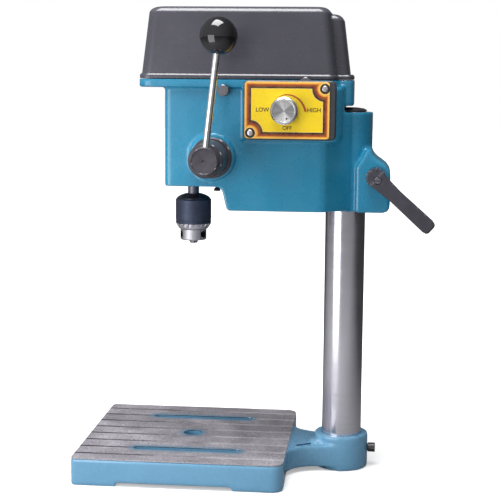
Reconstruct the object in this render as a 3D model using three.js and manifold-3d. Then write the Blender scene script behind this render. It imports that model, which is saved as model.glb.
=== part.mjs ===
// Mini bench drill press. Millimetres, +Z up.
// Front of the machine (chuck side) is -Y, column side is +Y, feed handle and speed control on +X.
import * as THREE from 'three';
import Module from 'manifold-3d';
import { mergeVertices } from 'three/addons/utils/BufferGeometryUtils.js';

const wasm = await Module();
wasm.setup();

// ---- driving dimensions -------------------------------------------------
// The working coordinates have their origin at the middle of the base plate, on the floor.
// ORIGIN_X and ORIGIN_Y move the finished model so that its box is centred on the origin.
const ORIGIN_X = 7.68, ORIGIN_Y = 53.83;

const BASE_W = 160, BASE_L = 160, TABLE_Z = 21, TABLE_T = 7, SKIRT_T = 5, SKIRT_Z = 2.6;
const R_FRONT = 4, R_REAR = 9;
const GROOVES = 8, GROOVE_PITCH = 18.7, GROOVE_W = 1.5, GROOVE_D = 0.6;
const SLOT_X = 46.75, SLOT_W = 8, SLOT_Y0 = -38, SLOT_Y1 = 45, HOLE_R = 7.4;
const ARM_Z = 19.6;

const COL_Y = 120.26, COL_R = 15.35, COL_WALL = 2, COL_Z0 = 4, COL_Z1 = 278.8, COL_BORE = 15.65;
const COLLAR_R = 20.8, COLLAR_Z = 26.6;
const CAP_Z = 282.1;

const SP_Y = 1.5;                                   // spindle axis
const HEAD_HW = 37, HEAD_Y0 = -15.5, HEAD_Z0 = 222.2, HEAD_Z1 = 204.3;
const STEP_Y0 = 27.8, STEP_Y1 = 32;
const TRAY_HW = 40, TRAY_Y0 = -35, TRAY_Y1 = 114, TRAY_Z0 = 296.4, TRAY_Z1 = 302.6;
const TAIL_HW = 22, TAIL_Y = 125.2, TAIL_Z = 283.5;
const SLEEVE_R = 19.8, SLEEVE_Z0 = 203.4, SLEEVE_Z1 = 278.6;
const EAR_HW = 24, EAR_Y1 = 154.2, SLIT = 2.4;

const PIN_Y = 21.2, PIN_Z = 244.6;                  // feed pinion axis, along X
const PIN_TEETH = 18, PIN_MODULE = 1.0;             // pitch radius 9 mm
const ROD_X = 82, ROD_TILT = 6.34 * Math.PI / 180, ROD_LEN = 89.2, ROD_R = 2.6, BALL_R = 13.5;

const CLAMP_Y = 143.2, CLAMP_Z = 231;               // column clamp screw, along X
const LEVER_LEN = 56.5, LEVER_ANGLE = -42 * Math.PI / 180;

const COVER_HW = 39, COVER_Y0 = -33.6, COVER_Y1 = 113.5, COVER_Z0 = 302.9, COVER_LIP = 306.7, COVER_TOP = 356.2;
const COVER_WALL = 2.2;

const KNOB_Y = 76.2, KNOB_Z = 280.4, KNOB_R = 10;
const PLATE = { y0: 46.4, y1: 108.8, z0: 259.7, z1: 301.3, x0: 49.8, x1: 50.6 };
const BOX = { y0: 45.4, y1: 113.4, z0: 258.6, z1: 302.2, x0: 40.7, x1: 49.5 };
const SCREWS = [[105.3, 296.3], [50.6, 263.8]];

const MOTOR_Y = 62, MOTOR_R = 18;
const PULLEY_Z0 = 303.3, PULLEY_Z1 = 312.3, SP_PULLEY_R = 24, MO_PULLEY_R = 9.6;

const DETAIL = 0.6;                                 // fineness of curved faces

// ---- helpers ------------------------------------------------------------
const V2 = (x, y) => new THREE.Vector2(x, y);

// Rounded polygon: corners are [x, y, radius], anticlockwise.
function rounded(corners, segs = 5) {
  segs = Math.max(2, Math.round(segs * DETAIL));
  const pts = [], n = corners.length;
  for (let i = 0; i < n; i++) {
    const [x, y, r = 0] = corners[i];
    if (r < 1e-6) { pts.push(V2(x, y)); continue; }
    const a = corners[(i + n - 1) % n], b = corners[(i + 1) % n];
    const p = V2(x, y), u = V2(a[0] - x, a[1] - y).normalize(), v = V2(b[0] - x, b[1] - y).normalize();
    const ang = Math.acos(Math.max(-1, Math.min(1, u.dot(v)))), d = r / Math.tan(ang / 2);
    const c = p.clone().add(u.clone().add(v).normalize().multiplyScalar(r / Math.sin(ang / 2)));
    const p0 = p.clone().addScaledVector(u, d), p1 = p.clone().addScaledVector(v, d);
    const a0 = Math.atan2(p0.y - c.y, p0.x - c.x);
    let da = Math.atan2(p1.y - c.y, p1.x - c.x) - a0;
    while (da > Math.PI) da -= 2 * Math.PI;
    while (da < -Math.PI) da += 2 * Math.PI;
    for (let k = 0; k <= segs; k++) {
      const t = a0 + da * k / segs;
      pts.push(V2(c.x + r * Math.cos(t), c.y + r * Math.sin(t)));
    }
  }
  return pts;
}
const rect = (x0, x1, y0, y1, r = 0, segs = 4) =>
  rounded([[x0, y0, r], [x1, y0, r], [x1, y1, r], [x0, y1, r]], segs);
const circle = (cx, cy, r, n = 24, ph = 0) => {
  const p = [];
  for (let i = 0; i < n; i++) {
    const t = ph + 2 * Math.PI * i / n;
    p.push(V2(cx + r * Math.cos(t), cy + r * Math.sin(t)));
  }
  return p;
};

function toManifold(geo) {
  let g = geo.index ? geo.clone() : geo.clone();
  g.deleteAttribute('normal');
  g.deleteAttribute('uv');
  g = mergeVertices(g, 1e-5);
  const pos = g.attributes.position.array, idx = Array.from(g.index.array);
  let tri = [];
  for (let i = 0; i < idx.length; i += 3) {
    const [a, b, c] = [idx[i], idx[i + 1], idx[i + 2]];
    if (a !== b && b !== c && a !== c) tri.push(a, b, c);
  }
  let vol = 0;
  for (let i = 0; i < tri.length; i += 3) {
    const [a, b, c] = [tri[i] * 3, tri[i + 1] * 3, tri[i + 2] * 3];
    vol += pos[a] * (pos[b + 1] * pos[c + 2] - pos[b + 2] * pos[c + 1])
      - pos[a + 1] * (pos[b] * pos[c + 2] - pos[b + 2] * pos[c])
      + pos[a + 2] * (pos[b] * pos[c + 1] - pos[b + 1] * pos[c]);
  }
  if (vol < 0) for (let i = 0; i < tri.length; i += 3) [tri[i + 1], tri[i + 2]] = [tri[i + 2], tri[i + 1]];
  return new wasm.Manifold(new wasm.Mesh({
    numProp: 3, vertProperties: new Float32Array(pos), triVerts: new Uint32Array(tri),
  }));
}
function toGeometry(m) {
  const mesh = m.getMesh();
  const g = new THREE.BufferGeometry();
  g.setAttribute('position', new THREE.BufferAttribute(new Float32Array(mesh.vertProperties), 3));
  g.setIndex(new THREE.BufferAttribute(new Uint32Array(mesh.triVerts), 1));
  g.computeVertexNormals();
  return g;
}
function extrudeZ(pts, z0, z1, holes = []) {
  const s = new THREE.Shape(pts);
  for (const h of holes) s.holes.push(new THREE.Path(h));
  const g = new THREE.ExtrudeGeometry(s, { depth: z1 - z0, bevelEnabled: false, curveSegments: 12, steps: 1 });
  g.translate(0, 0, z0);
  return toManifold(g);
}
// Outline in (Y, Z), extruded along X.
function extrudeX(pts, x0, x1, holes = []) {
  const s = new THREE.Shape(pts);
  for (const h of holes) s.holes.push(new THREE.Path(h));
  const g = new THREE.ExtrudeGeometry(s, { depth: x1 - x0, bevelEnabled: false, curveSegments: 12, steps: 1 });
  g.translate(0, 0, x0);
  g.applyMatrix4(new THREE.Matrix4().set(0, 0, 1, 0, 1, 0, 0, 0, 0, 1, 0, 0, 0, 0, 0, 1));
  return toManifold(g);
}
// Profile of [radius, height] turned about Z, at (cx, cy).
function turnZ(profile, seg = 32, cx = 0, cy = 0, ph = 0) {
  seg = Math.max(12, Math.round(seg * DETAIL));
  const g = new THREE.LatheGeometry(profile.map(([r, h]) => V2(r, h)), seg, ph, Math.PI * 2);
  g.rotateX(Math.PI / 2);
  g.translate(cx, cy, 0);
  return toManifold(g);
}
// Profile of [radius, distance] turned about an axis from p along d.
function turnAxis(profile, p, d, seg = 24) {
  seg = Math.max(12, Math.round(seg * DETAIL));
  const g = new THREE.LatheGeometry(profile.map(([r, h]) => V2(r, h)), seg);
  const q = new THREE.Quaternion().setFromUnitVectors(new THREE.Vector3(0, 1, 0), new THREE.Vector3(...d).normalize());
  g.applyQuaternion(q);
  g.translate(...p);
  return toManifold(g);
}
const turnX = (profile, y, z, seg = 32) => turnAxis(profile, [0, y, z], [1, 0, 0], seg);
const cylZ = (r, z0, z1, cx = 0, cy = 0, seg = 32) => turnZ([[0, z0], [r, z0], [r, z1], [0, z1]], seg, cx, cy);
const cylX = (r, x0, x1, y, z, seg = 32) => turnX([[0, x0], [r, x0], [r, x1], [0, x1]], y, z, seg);
const cylA = (r, a, b, seg = 16) => {
  const d = [b[0] - a[0], b[1] - a[1], b[2] - a[2]], L = Math.hypot(...d);
  return turnAxis([[0, 0], [r, 0], [r, L], [0, L]], a, d, seg);
};
function box(x0, x1, y0, y1, z0, z1) {
  const g = new THREE.BoxGeometry(x1 - x0, y1 - y0, z1 - z0);
  g.translate((x0 + x1) / 2, (y0 + y1) / 2, (z0 + z1) / 2);
  return toManifold(g);
}
// Stack of outlines with the same number of points, closed top and bottom (convex outlines).
function loft(rings) {
  const n = rings[0].pts.length, pos = [], idx = [];
  for (const r of rings) for (const p of r.pts) pos.push(p.x, p.y, r.z);
  for (let k = 0; k < rings.length - 1; k++) for (let i = 0; i < n; i++) {
    const j = (i + 1) % n, a = k * n + i, b = k * n + j, c = (k + 1) * n + j, d = (k + 1) * n + i;
    idx.push(a, b, c, a, c, d);
  }
  const top = (rings.length - 1) * n;
  for (let i = 1; i < n - 1; i++) { idx.push(0, i + 1, i); idx.push(top, top + i, top + i + 1); }
  const g = new THREE.BufferGeometry();
  g.setAttribute('position', new THREE.Float32BufferAttribute(pos, 3));
  g.setIndex(idx);
  return toManifold(g);
}
const union = (...m) => m.reduce((a, b) => a.add(b));
const cut = (a, ...m) => m.reduce((x, y) => x.subtract(y), a);

const group = new THREE.Group();
group.name = 'mini_bench_drill';
function piece(name, solid, color, roughness, metalness) {
  const mesh = new THREE.Mesh(toGeometry(solid.translate([-ORIGIN_X, -ORIGIN_Y, 0])),
    new THREE.MeshStandardMaterial({ color, roughness, metalness }));
  mesh.name = name;
  group.add(mesh);
}
const BLUE = 0x2b7fa8, SKY = 0x6aa5cf, DARK = 0x2c2c30, STEEL = 0xb4b4b8, BRIGHT = 0xd8d8dc, BLACK = 0x161618;

// ---- base casting -------------------------------------------------------
{
  const H = BASE_W / 2, L = BASE_L / 2;
  const plan = (o, rf, rr) => rounded([[-H + o, -L + o, rf], [H - o, -L + o, rf], [H - o, L - o, rr], [-H + o, L - o, rr]], 5);
  let b = extrudeZ(plan(0, R_FRONT, R_REAR), SKIRT_Z, TABLE_Z);
  // underside pocket with lengthwise ribs and two cross ribs
  let pocket = extrudeZ(plan(SKIRT_T, 2, 5), -1, TABLE_Z - TABLE_T);
  for (const x of [-38.6, -13.5, 13.5, 38.6]) pocket = pocket.subtract(box(x - 1.5, x + 1.5, -90, 90, -2, 30));
  for (const y of [-50, 57]) pocket = pocket.subtract(box(-90, 90, y - 1.5, y + 1.5, -2, 30));
  // feet: the corners and the column boss reach the floor
  const feet = [];
  for (const [x0, x1] of [[-H, -H + 22], [H - 22, H]]) for (const [y0, y1] of [[-L, -L + 34], [L - 38, L]])
    feet.push(box(x0, x1, y0, y1, 0, SKIRT_Z + 1).intersect(extrudeZ(plan(0, R_FRONT, R_REAR), -1, 10)));
  b = union(b, ...feet);
  b = b.subtract(pocket);
  // arm from the table to the column collar, sides drawn in
  const side = [[44, 79], [36.5, 80.6], [30.5, 84.2], [26, 89], [23, 94.5], [21.4, 100.5], [20.8, 107], [20.8, 120]];
  const a = [...side.map(([x, y]) => V2(x, y)), ...side.slice().reverse().map(([x, y]) => V2(-x, y))];
  b = b.add(extrudeZ(a, 3.2, ARM_Z));
  const collar = turnZ([[0, 0], [COLLAR_R, 0], [COLLAR_R, COLLAR_Z - 1.6], [COLLAR_R - 0.5, COLLAR_Z - 0.5],
    [COLLAR_R - 1.6, COLLAR_Z], [0, COLLAR_Z]], 48, 0, COL_Y);
  b = b.add(collar);
  // boss for the grub screw, on the front corner of the collar
  const bd = new THREE.Vector3(0.52, -0.855, 0).normalize();
  const bp = (t) => [bd.x * t, COL_Y + bd.y * t, 17.4];
  b = b.add(cylA(6, bp(17), bp(26.5), 20));
  b = b.subtract(cylA(2.9, bp(15.6), bp(30), 12));
  // bore, rear screw hole
  b = b.subtract(cylZ(COL_BORE, 3.6, 40, 0, COL_Y, 48));
  b = b.subtract(cylA(2.9, [0, COL_Y + 14, 14.4], [0, COL_Y + 30, 14.4], 12));
  // table slots, centre hole and grooves
  for (const s of [-1, 1]) b = b.subtract(extrudeZ(rounded([
    [s * SLOT_X - SLOT_W / 2, SLOT_Y0, 3.9], [s * SLOT_X + SLOT_W / 2, SLOT_Y0, 3.9],
    [s * SLOT_X + SLOT_W / 2, SLOT_Y1, 3.9], [s * SLOT_X - SLOT_W / 2, SLOT_Y1, 3.9]], 4), 10, 30));
  b = b.subtract(cylZ(HOLE_R, 10, 30, 0, SP_Y, 24));
  for (let k = 0; k < GROOVES; k++) {
    const x = GROOVE_PITCH * (k - (GROOVES - 1) / 2);
    b = b.subtract(box(x - GROOVE_W / 2, x + GROOVE_W / 2, -65, 90, TABLE_Z - GROOVE_D, 30));
  }
  piece('base_casting', b, SKY, 0.35, 0.1);
  // rear column screw: socket head cap screw
  piece('column_set_screw', turnAxis([[0, 0.3], [2.6, 0.3], [2.6, 5.4], [3.6, 5.4], [3.6, 10.6], [3.2, 11.2], [1.7, 11.2], [1.7, 8.6], [0, 8.6]],
    [0, COL_Y + COL_BORE, 14.4], [0, 1, 0], 18), BLACK, 0.4, 0.8);
  piece('boss_grub_screw', turnAxis([[0, 0], [2.6, 0], [2.6, 9.4], [1.3, 9.4], [1.3, 7.4], [0, 7.4]], bp(16), [bd.x, bd.y, 0], 14), STEEL, 0.35, 0.9);
}

// ---- column -------------------------------------------------------------
piece('column_tube', turnZ([[COL_R - COL_WALL, COL_Z0], [COL_R, COL_Z0], [COL_R, COL_Z1], [COL_R - COL_WALL, COL_Z1], [COL_R - COL_WALL, COL_Z0]], 48, 0, COL_Y),
  0xb9b6bc, 0.28, 1.0);
piece('column_cap', turnZ([[0, COL_Z1 - 8], [COL_R - COL_WALL - 0.3, COL_Z1 - 8], [COL_R - COL_WALL - 0.3, COL_Z1 + 0.3], [COL_R - 0.2, COL_Z1 + 0.3],
  [COL_R - 0.4, COL_Z1 + 1.4], [COL_R - 2.4, COL_Z1 + 2.6], [COL_R - 7, CAP_Z - 0.2], [0, CAP_Z]], 32, 0, COL_Y), BLACK, 0.5, 0);

// ---- head casting -------------------------------------------------------
const trayPlan = (o, z0, z1) => {
  const main = rounded([[-TRAY_HW + o, TRAY_Y0 + o, 9 - o], [TRAY_HW - o, TRAY_Y0 + o, 9 - o], [TRAY_HW - o, TRAY_Y1 - o, 7 - o / 2], [-TRAY_HW + o, TRAY_Y1 - o, 7 - o / 2]], 5);
  const tail = rounded([[-TAIL_HW + o, 95, 0], [TAIL_HW - o, 95, 0], [TAIL_HW - o, TAIL_Y - o, 4.5], [-TAIL_HW + o, TAIL_Y - o, 4.5]], 4);
  return extrudeZ(main, z0, z1).add(extrudeZ(tail, z0, z1));
};
{
  const plan = rounded([[-HEAD_HW, HEAD_Y0, 4], [HEAD_HW, HEAD_Y0, 4], [HEAD_HW, 104, 12], [20.5, 124, 0], [-20.5, 124, 0], [-HEAD_HW, 104, 12]], 5);
  const side = rounded([[HEAD_Y0 - 1, HEAD_Z0, 0], [STEP_Y0, HEAD_Z0, 5.5], [STEP_Y1, HEAD_Z1, 3.2], [126, HEAD_Z1, 0], [126, SLEEVE_Z1, 0],
    [118.7, SLEEVE_Z1, 0], [118.7, 299, 0], [HEAD_Y0 - 1, 299, 0]], 5);
  let h = extrudeZ(plan, 200, 298.5).intersect(extrudeX(side, -60, 60));
  h = h.add(trayPlan(0, TRAY_Z0, TRAY_Z1));
  // deep tail of the tray above the column
  h = h.add(extrudeZ(rounded([[-TAIL_HW, 105, 0], [TAIL_HW, 105, 0], [TAIL_HW, TAIL_Y, 4.5], [-TAIL_HW, TAIL_Y, 4.5]], 4), TAIL_Z, TRAY_Z0 + 1));
  // column sleeve and clamp ears
  h = h.add(turnZ([[0, SLEEVE_Z0], [SLEEVE_R - 0.8, SLEEVE_Z0], [SLEEVE_R, SLEEVE_Z0 + 0.8], [SLEEVE_R, SLEEVE_Z1 - 1], [SLEEVE_R - 1, SLEEVE_Z1], [0, SLEEVE_Z1]], 48, 0, COL_Y));
  const ear = [[128.6, 203.8], [131, 203.4], [149, 203.4], [152.2, 204.4], [153.8, 206.8], [EAR_Y1, 210], [EAR_Y1, 232], [153.4, 235.6], [151, 239], [147.4, 241.8],
    [143.6, 244.4], [140.8, 247.6], [139.4, 251.6], [136, 251.6], [133, 245], [130, 240.6], [128.6, 237.4]].map(([y, z]) => V2(y, z));
  h = h.add(extrudeX(ear, -EAR_HW, EAR_HW));
  // feed pinion boss, spring boss
  h = h.add(turnX([[0, 30], [17, 30], [17, HEAD_HW + 3.4], [16, HEAD_HW + 4.4], [0, HEAD_HW + 4.4]], PIN_Y, PIN_Z, 40));
  h = h.add(cylX(15.5, -HEAD_HW - 1.6, -30, PIN_Y, PIN_Z, 36));
  // pad behind the control box
  const pad = rounded([[44.4, 257.2, 3], [117.2, 257.2, 5], [117.2, 297, 0], [44.4, 297, 0]], 4);
  h = h.add(extrudeX(pad, HEAD_HW - 22, HEAD_HW + 3.4).intersect(extrudeZ(rounded([[10, 30, 0], [HEAD_HW + 3.4, 30, 0], [HEAD_HW + 3.4, 117.2, 8], [10, 117.2, 0]], 5), 200, 300)));
  // openings
  h = h.subtract(cylZ(COL_BORE, 190, 283.1, 0, COL_Y, 48));
  h = h.subtract(box(-SLIT / 2, SLIT / 2, COL_Y + 10, 170, 190, 283.1));
  h = h.subtract(cylX(3.4, -60, 60, CLAMP_Y, CLAMP_Z, 18));
  h = h.subtract(extrudeX(circle(CLAMP_Y, CLAMP_Z, 6.1, 6), -60, -EAR_HW + 5));
  h = h.subtract(cylZ(12.3, 190, 286.5, 0, SP_Y, 48));
  h = h.subtract(cylZ(9.3, 280, 310, 0, SP_Y, 32));
  h = h.subtract(cylX(10.7, -60, 8, PIN_Y, PIN_Z, 32));
  h = h.subtract(cylX(6.3, 0, 60, PIN_Y, PIN_Z, 28));
  h = h.subtract(cylZ(MOTOR_R + 0.6, 214, 310, 0, MOTOR_Y, 36));
  h = h.subtract(trayPlan(3.2, 298.6, 310));
  h = h.subtract(cylZ(1.9, 210, 240, 9, PIN_Y, 14));                 // guide screw
  for (const s of [-1, 1]) for (const [y, z] of [[29.5, 294.4], [90.6, 300.3]])
    h = h.subtract(cylX(2.9, s * 24, s * 60, y, z, 14));
  // power inlet pocket on the far side
  h = h.subtract(cylX(5.9, -60, -28, 96, 226, 24));
  piece('head_casting', h, BLUE, 0.3, 0.15);

  // bolts that hold the motor plate, two on each side
  const hexBolt = (name, s, y, z, face, inner = 24.5) => {
    const hex = extrudeX(circle(y, z, 4.6, 6, Math.PI / 6), Math.min(s * (face + 0.3), s * (face + 4.2)), Math.max(s * (face + 0.3), s * (face + 4.2)))
      .intersect(turnX(s > 0 ? [[0, face], [5, face], [5, face + 3.4], [3.9, face + 4.3], [0, face + 4.3]] : [[0, -face - 4.3], [3.9, -face - 4.3], [5, -face - 3.4], [5, -face], [0, -face]], y, z, 24));
    piece(name, hex.add(cylX(2.6, Math.min(s * inner, s * (face + 1)), Math.max(s * inner, s * (face + 1)), y, z, 14)), 0x4a4a4c, 0.4, 0.8);
  };
  hexBolt('plate_bolt_front', 1, 29.5, 294.4, TRAY_HW - 0.1);
  hexBolt('plate_bolt_rear', 1, 90.6, 300.3, TRAY_HW + 0.5, 34);
  hexBolt('plate_bolt_front_far', -1, 29.5, 294.4, TRAY_HW - 0.1);
  hexBolt('plate_bolt_rear_far', -1, 90.6, 300.3, TRAY_HW, 34);
  // domed screw under the head
  piece('quill_guide_screw', turnZ([[0, 216.8], [2.5, 216.8], [2.6, 217.4], [2.2, 218.7], [1.3, 219.5], [1.3, 238], [0, 238]], 16, 9, PIN_Y), 0x2a2e30, 0.5, 0.6);
}

// ---- belt cover ---------------------------------------------------------
{
  const rings = (o, ztop, low, main) => {
    // draft: 5.6 mm front and rear, 3 mm each side, over the height
    const zs = [[low, 0, 0], [ztop - 5.4, 1, 0], [ztop - 2.2, 1.05, 1.5], [ztop - 0.5, 1.07, 4.2], [ztop, 1.07, 7.5]];
    return zs.map(([z, t, i]) => {
      const e = o + i, sx = 2.8 * t + e, sy = 5.6 * t + e;
      return main
        ? { z, pts: rounded([[-COVER_HW + sx, COVER_Y0 + sy, 8], [COVER_HW - sx, COVER_Y0 + sy, 8], [COVER_HW - sx, COVER_Y1 - sy, 7], [-COVER_HW + sx, COVER_Y1 - sy, 7]], 5) }
        : { z, pts: rounded([[-21.3 + sx * 0.8, 90, 2], [21.3 - sx * 0.8, 90, 2], [21.3 - sx * 0.8, 122.6 - sy, 4.5], [-21.3 + sx * 0.8, 122.6 - sy, 4.5]], 4) };
    });
  };
  let c = loft(rings(0, COVER_TOP, COVER_Z0, true)).add(loft(rings(0, COVER_TOP - 4.6, COVER_Z0, false)));
  c = c.add(trayPlan(0.2, COVER_Z0, COVER_LIP - 0.6)).add(trayPlan(0.8, COVER_LIP - 0.7, COVER_LIP));
  c = c.subtract(loft(rings(COVER_WALL, COVER_TOP - COVER_WALL, COVER_Z0 - 1, true)).add(loft(rings(COVER_WALL, COVER_TOP - 4.6 - COVER_WALL, COVER_Z0 - 1, false))));
  piece('belt_cover', c, 0x26262a, 0.45, 0);
}

// ---- quill, spindle and chuck -------------------------------------------
{
  const pitch = Math.PI * PIN_MODULE, py = PIN_Y - PIN_TEETH * PIN_MODULE / 2;
  let q = turnZ([[5.6, 226], [9.4, 226], [9.4, 226.01], [11.4, 226.01], [12, 226.7], [12, 280.4], [11.4, 281], [5.6, 281], [5.6, 226]], 48, 0, SP_Y);
  q = q.subtract(box(-20, 20, py + 0.9, 40, 234, 273));
  for (let k = -3; k < 9; k++) {
    const zc = PIN_Z + pitch * k;
    const g = [[py + 1.2, zc - 1.05 - 0.42], [py + 1.2, zc + 1.05 + 0.42], [py - 1.15, zc + 0.55], [py - 1.15, zc - 0.55]].map(([y, z]) => V2(y, z));
    q = q.subtract(extrudeX(g.reverse(), -20, 20));
  }
  // bearing seats
  q = q.subtract(cylZ(9.2, 220, 231.2, 0, SP_Y, 32)).subtract(cylZ(9.2, 275.8, 290, 0, SP_Y, 32));
  piece('quill', q, STEEL, 0.3, 0.9);
  const ring = (z0, z1, ri, ro) => turnZ([[ri, z0], [ro, z0], [ro, z1], [ri, z1], [ri, z0]], 28, 0, SP_Y);
  piece('quill_bearing_lower', ring(226.2, 230.9, 5.3, 8.95), BRIGHT, 0.3, 0.9);
  piece('quill_bearing_upper', ring(276.1, 280.8, 5.3, 8.95), BRIGHT, 0.3, 0.9);
  piece('spindle_shaft', turnZ([[0, 198.6], [4.35, 198.6], [4.35, 224.5], [5, 225], [5, 284], [4, 285], [4, 333.4], [3.4, 334], [0, 334]], 28, 0, SP_Y), BRIGHT, 0.25, 1);

  // chuck body with three inclined jaw channels and three key holes
  const TAN = Math.tan(16 * Math.PI / 180), TIP_Z = 174.8, TIP_R = 1.35;
  let cb = turnZ([[0, 179.2], [3.2, 177.5], [9.4, 177.5], [10.2, 178.3], [10.2, 186], [9.6, 186], [9.6, 210.3], [13, 210.3], [12.6, 210.9], [10.2, 212.4], [7.4, 213.5], [5.8, 213.9], [0, 213.9]], 40, 0, SP_Y);
  cb = cb.subtract(cylZ(4.65, 198.3, 220, 0, SP_Y, 28));
  cb = cb.subtract(cylZ(3.2, 170, 192, 0, SP_Y, 24));
  const dir = (a) => [Math.cos(a), Math.sin(a)];
  const at = (a, z) => { const r = TIP_R + (z - TIP_Z) * TAN; return [r * dir(a)[0], SP_Y + r * dir(a)[1], z]; };
  const JAW0 = -0.04, jawAng = [JAW0, JAW0 + 2 * Math.PI / 3, JAW0 + 4 * Math.PI / 3];
  for (const a of jawAng) cb = cb.subtract(cylA(2.15, at(a, 168), at(a, 205.4), 18));
  for (const a of jawAng) {
    const k = a + Math.PI / 3, [cx, cy] = dir(k);
    cb = cb.subtract(cylA(2.7, [4.9 * cx, SP_Y + 4.9 * cy, 182.2], [14 * cx, SP_Y + 14 * cy, 182.2], 16));
  }
  piece('chuck_body', cb, BRIGHT, 0.3, 0.9);
  // toothed sleeve
  const teeth = [];
  for (let i = 0; i < 20; i++) for (const [f, r] of [[0.04, 13.7], [0.4, 13.7], [0.54, 12.5], [0.9, 12.5]]) {
    const t = 2 * Math.PI * (i + f) / 20;
    teeth.push(V2(r * Math.cos(t), SP_Y + r * Math.sin(t)));
  }
  let sl = extrudeZ(teeth, 186.3, 190.6).intersect(turnZ([[0, 186.3], [11.3, 186.3], [13.75, 189.9], [13.75, 190.6], [0, 190.6]], 40, 0, SP_Y));
  sl = sl.add(turnZ([[0, 189.8], [13.2, 189.8], [13.9, 190.6], [13.9, 209.2], [13.3, 210], [0, 210]], 40, 0, SP_Y));
  sl = sl.subtract(turnZ([[0, 180], [10.55, 180], [10.55, 189.2], [12, 189.8], [12, 214], [0, 214]], 36, 0, SP_Y));
  piece('chuck_sleeve', sl, 0x3a4250, 0.4, 0.7);
  jawAng.forEach((a, i) => {
    // a round bar on the inclined axis, with two flats that meet on the centre line
    let j = cylA(1.8, at(a, TIP_Z - 4), at(a, 194), 18);
    j = j.subtract(box(-20, 20, -20, 20, 150, TIP_Z));
    const keep = [V2(0.14 * dir(a)[0], SP_Y + 0.14 * dir(a)[1])];
    for (const s of [-1, 1]) {
      const b = a + s * Math.PI / 3 * 0.985;
      keep.push(V2(keep[0].x + 30 * Math.cos(b), keep[0].y + 30 * Math.sin(b)));
    }
    j = j.intersect(extrudeZ(keep, 160, 210));
    piece('chuck_jaw_' + (i + 1), j, 0x8c8c90, 0.35, 0.9);
  });
}

// ---- drive: motor, pulleys, belt ----------------------------------------
{
  const bearing = turnZ([[6.4, 289.6], [9, 289.6], [9, 298.2], [6.4, 298.2], [6.4, 289.6]], 28, 0, SP_Y);
  piece('pulley_bearing', bearing, BRIGHT, 0.3, 0.9);
  const groove = (R) => [[R, PULLEY_Z0], [R, PULLEY_Z0 + 1.3], [R - 2.4, PULLEY_Z0 + 1.6], [R - 2.4, PULLEY_Z1 - 1.6], [R, PULLEY_Z1 - 1.3], [R, PULLEY_Z1]];
  piece('spindle_pulley', turnZ([[4.3, 290], [6.1, 290], [6.1, 302.4], [8, PULLEY_Z0], ...groove(SP_PULLEY_R), [9, PULLEY_Z1], [7.6, PULLEY_Z1 + 3], [4.3, PULLEY_Z1 + 3], [4.3, 290]], 40, 0, SP_Y), 0xc9c9cc, 0.35, 0.9);
  piece('motor_pulley', turnZ([[2.1, 302], [5.5, 302], [5.5, PULLEY_Z0], ...groove(MO_PULLEY_R), [2.1, PULLEY_Z1], [2.1, 302]], 28, 0, MOTOR_Y), 0xc9c9cc, 0.35, 0.9);
  const belt = (g) => {
    const r1 = SP_PULLEY_R - 2.4 + g, r2 = MO_PULLEY_R - 2.4 + g, D = MOTOR_Y - SP_Y, al = Math.asin((r1 - r2) / D), p = [];
    // big pulley arc on the front side, small pulley arc on the rear side
    const t0 = Math.PI - al, t1 = 2 * Math.PI + al;
    for (let i = 0; i <= 16; i++) { const t = t0 + (t1 - t0) * i / 16; p.push(V2(r1 * Math.cos(t), SP_Y + r1 * Math.sin(t))); }
    const s0 = al, s1 = Math.PI - al;
    for (let i = 0; i <= 9; i++) { const t = s0 + (s1 - s0) * i / 9; p.push(V2(r2 * Math.cos(t), MOTOR_Y + r2 * Math.sin(t))); }
    return p;
  };
  piece('drive_belt', extrudeZ(belt(2.5), 305.3, 310.3).subtract(extrudeZ(belt(0.4), 300, 315)), 0x1c1c1c, 0.8, 0);
  // motor plate in the tray
  let mp = extrudeZ(rect(-32, 32, 27, 97, 3), 298.9, 301.4);
  mp = mp.subtract(cylZ(6.2, 290, 310, 0, MOTOR_Y, 24));
  for (const y of [MOTOR_Y - 12, MOTOR_Y + 12]) mp = mp.subtract(cylZ(1.8, 290, 310, 0, y, 12));
  piece('motor_plate', mp, 0x9a9a9e, 0.4, 0.9);
  for (const [i, y] of [[1, MOTOR_Y - 12], [2, MOTOR_Y + 12]])
    piece('motor_screw_' + i, turnZ([[0, 294], [1.5, 294], [1.5, 301.7], [2.9, 301.7], [2.7, 303.2], [1.4, 303.8], [0, 303.8]], 14, 0, y), STEEL, 0.3, 0.9);
  let can = turnZ([[0, 230.5], [7, 230.5], [7.6, 232], [MOTOR_R - 1, 232], [MOTOR_R, 233], [MOTOR_R, 297.6], [MOTOR_R - 1, 298.5], [0, 298.5]], 36, 0, MOTOR_Y);
  can = can.subtract(turnZ([[0, 233], [13, 233], [13, 296], [3.2, 296], [3.2, 320], [0, 320]], 32, 0, MOTOR_Y));
  for (const y of [MOTOR_Y - 12, MOTOR_Y + 12]) can = can.subtract(cylZ(1.75, 293.5, 310, 0, y, 12));
  piece('motor_can', can, 0x8f9296, 0.35, 0.9);
  piece('motor_rotor', turnZ([[0, 233.4], [2.4, 233.4], [2.4, 238], [12.2, 238], [12.2, 286], [2.4, 286], [1.9, 292], [1.9, 313.2], [0, 313.2]], 28, 0, MOTOR_Y), 0x77644f, 0.4, 0.8);
}

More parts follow.
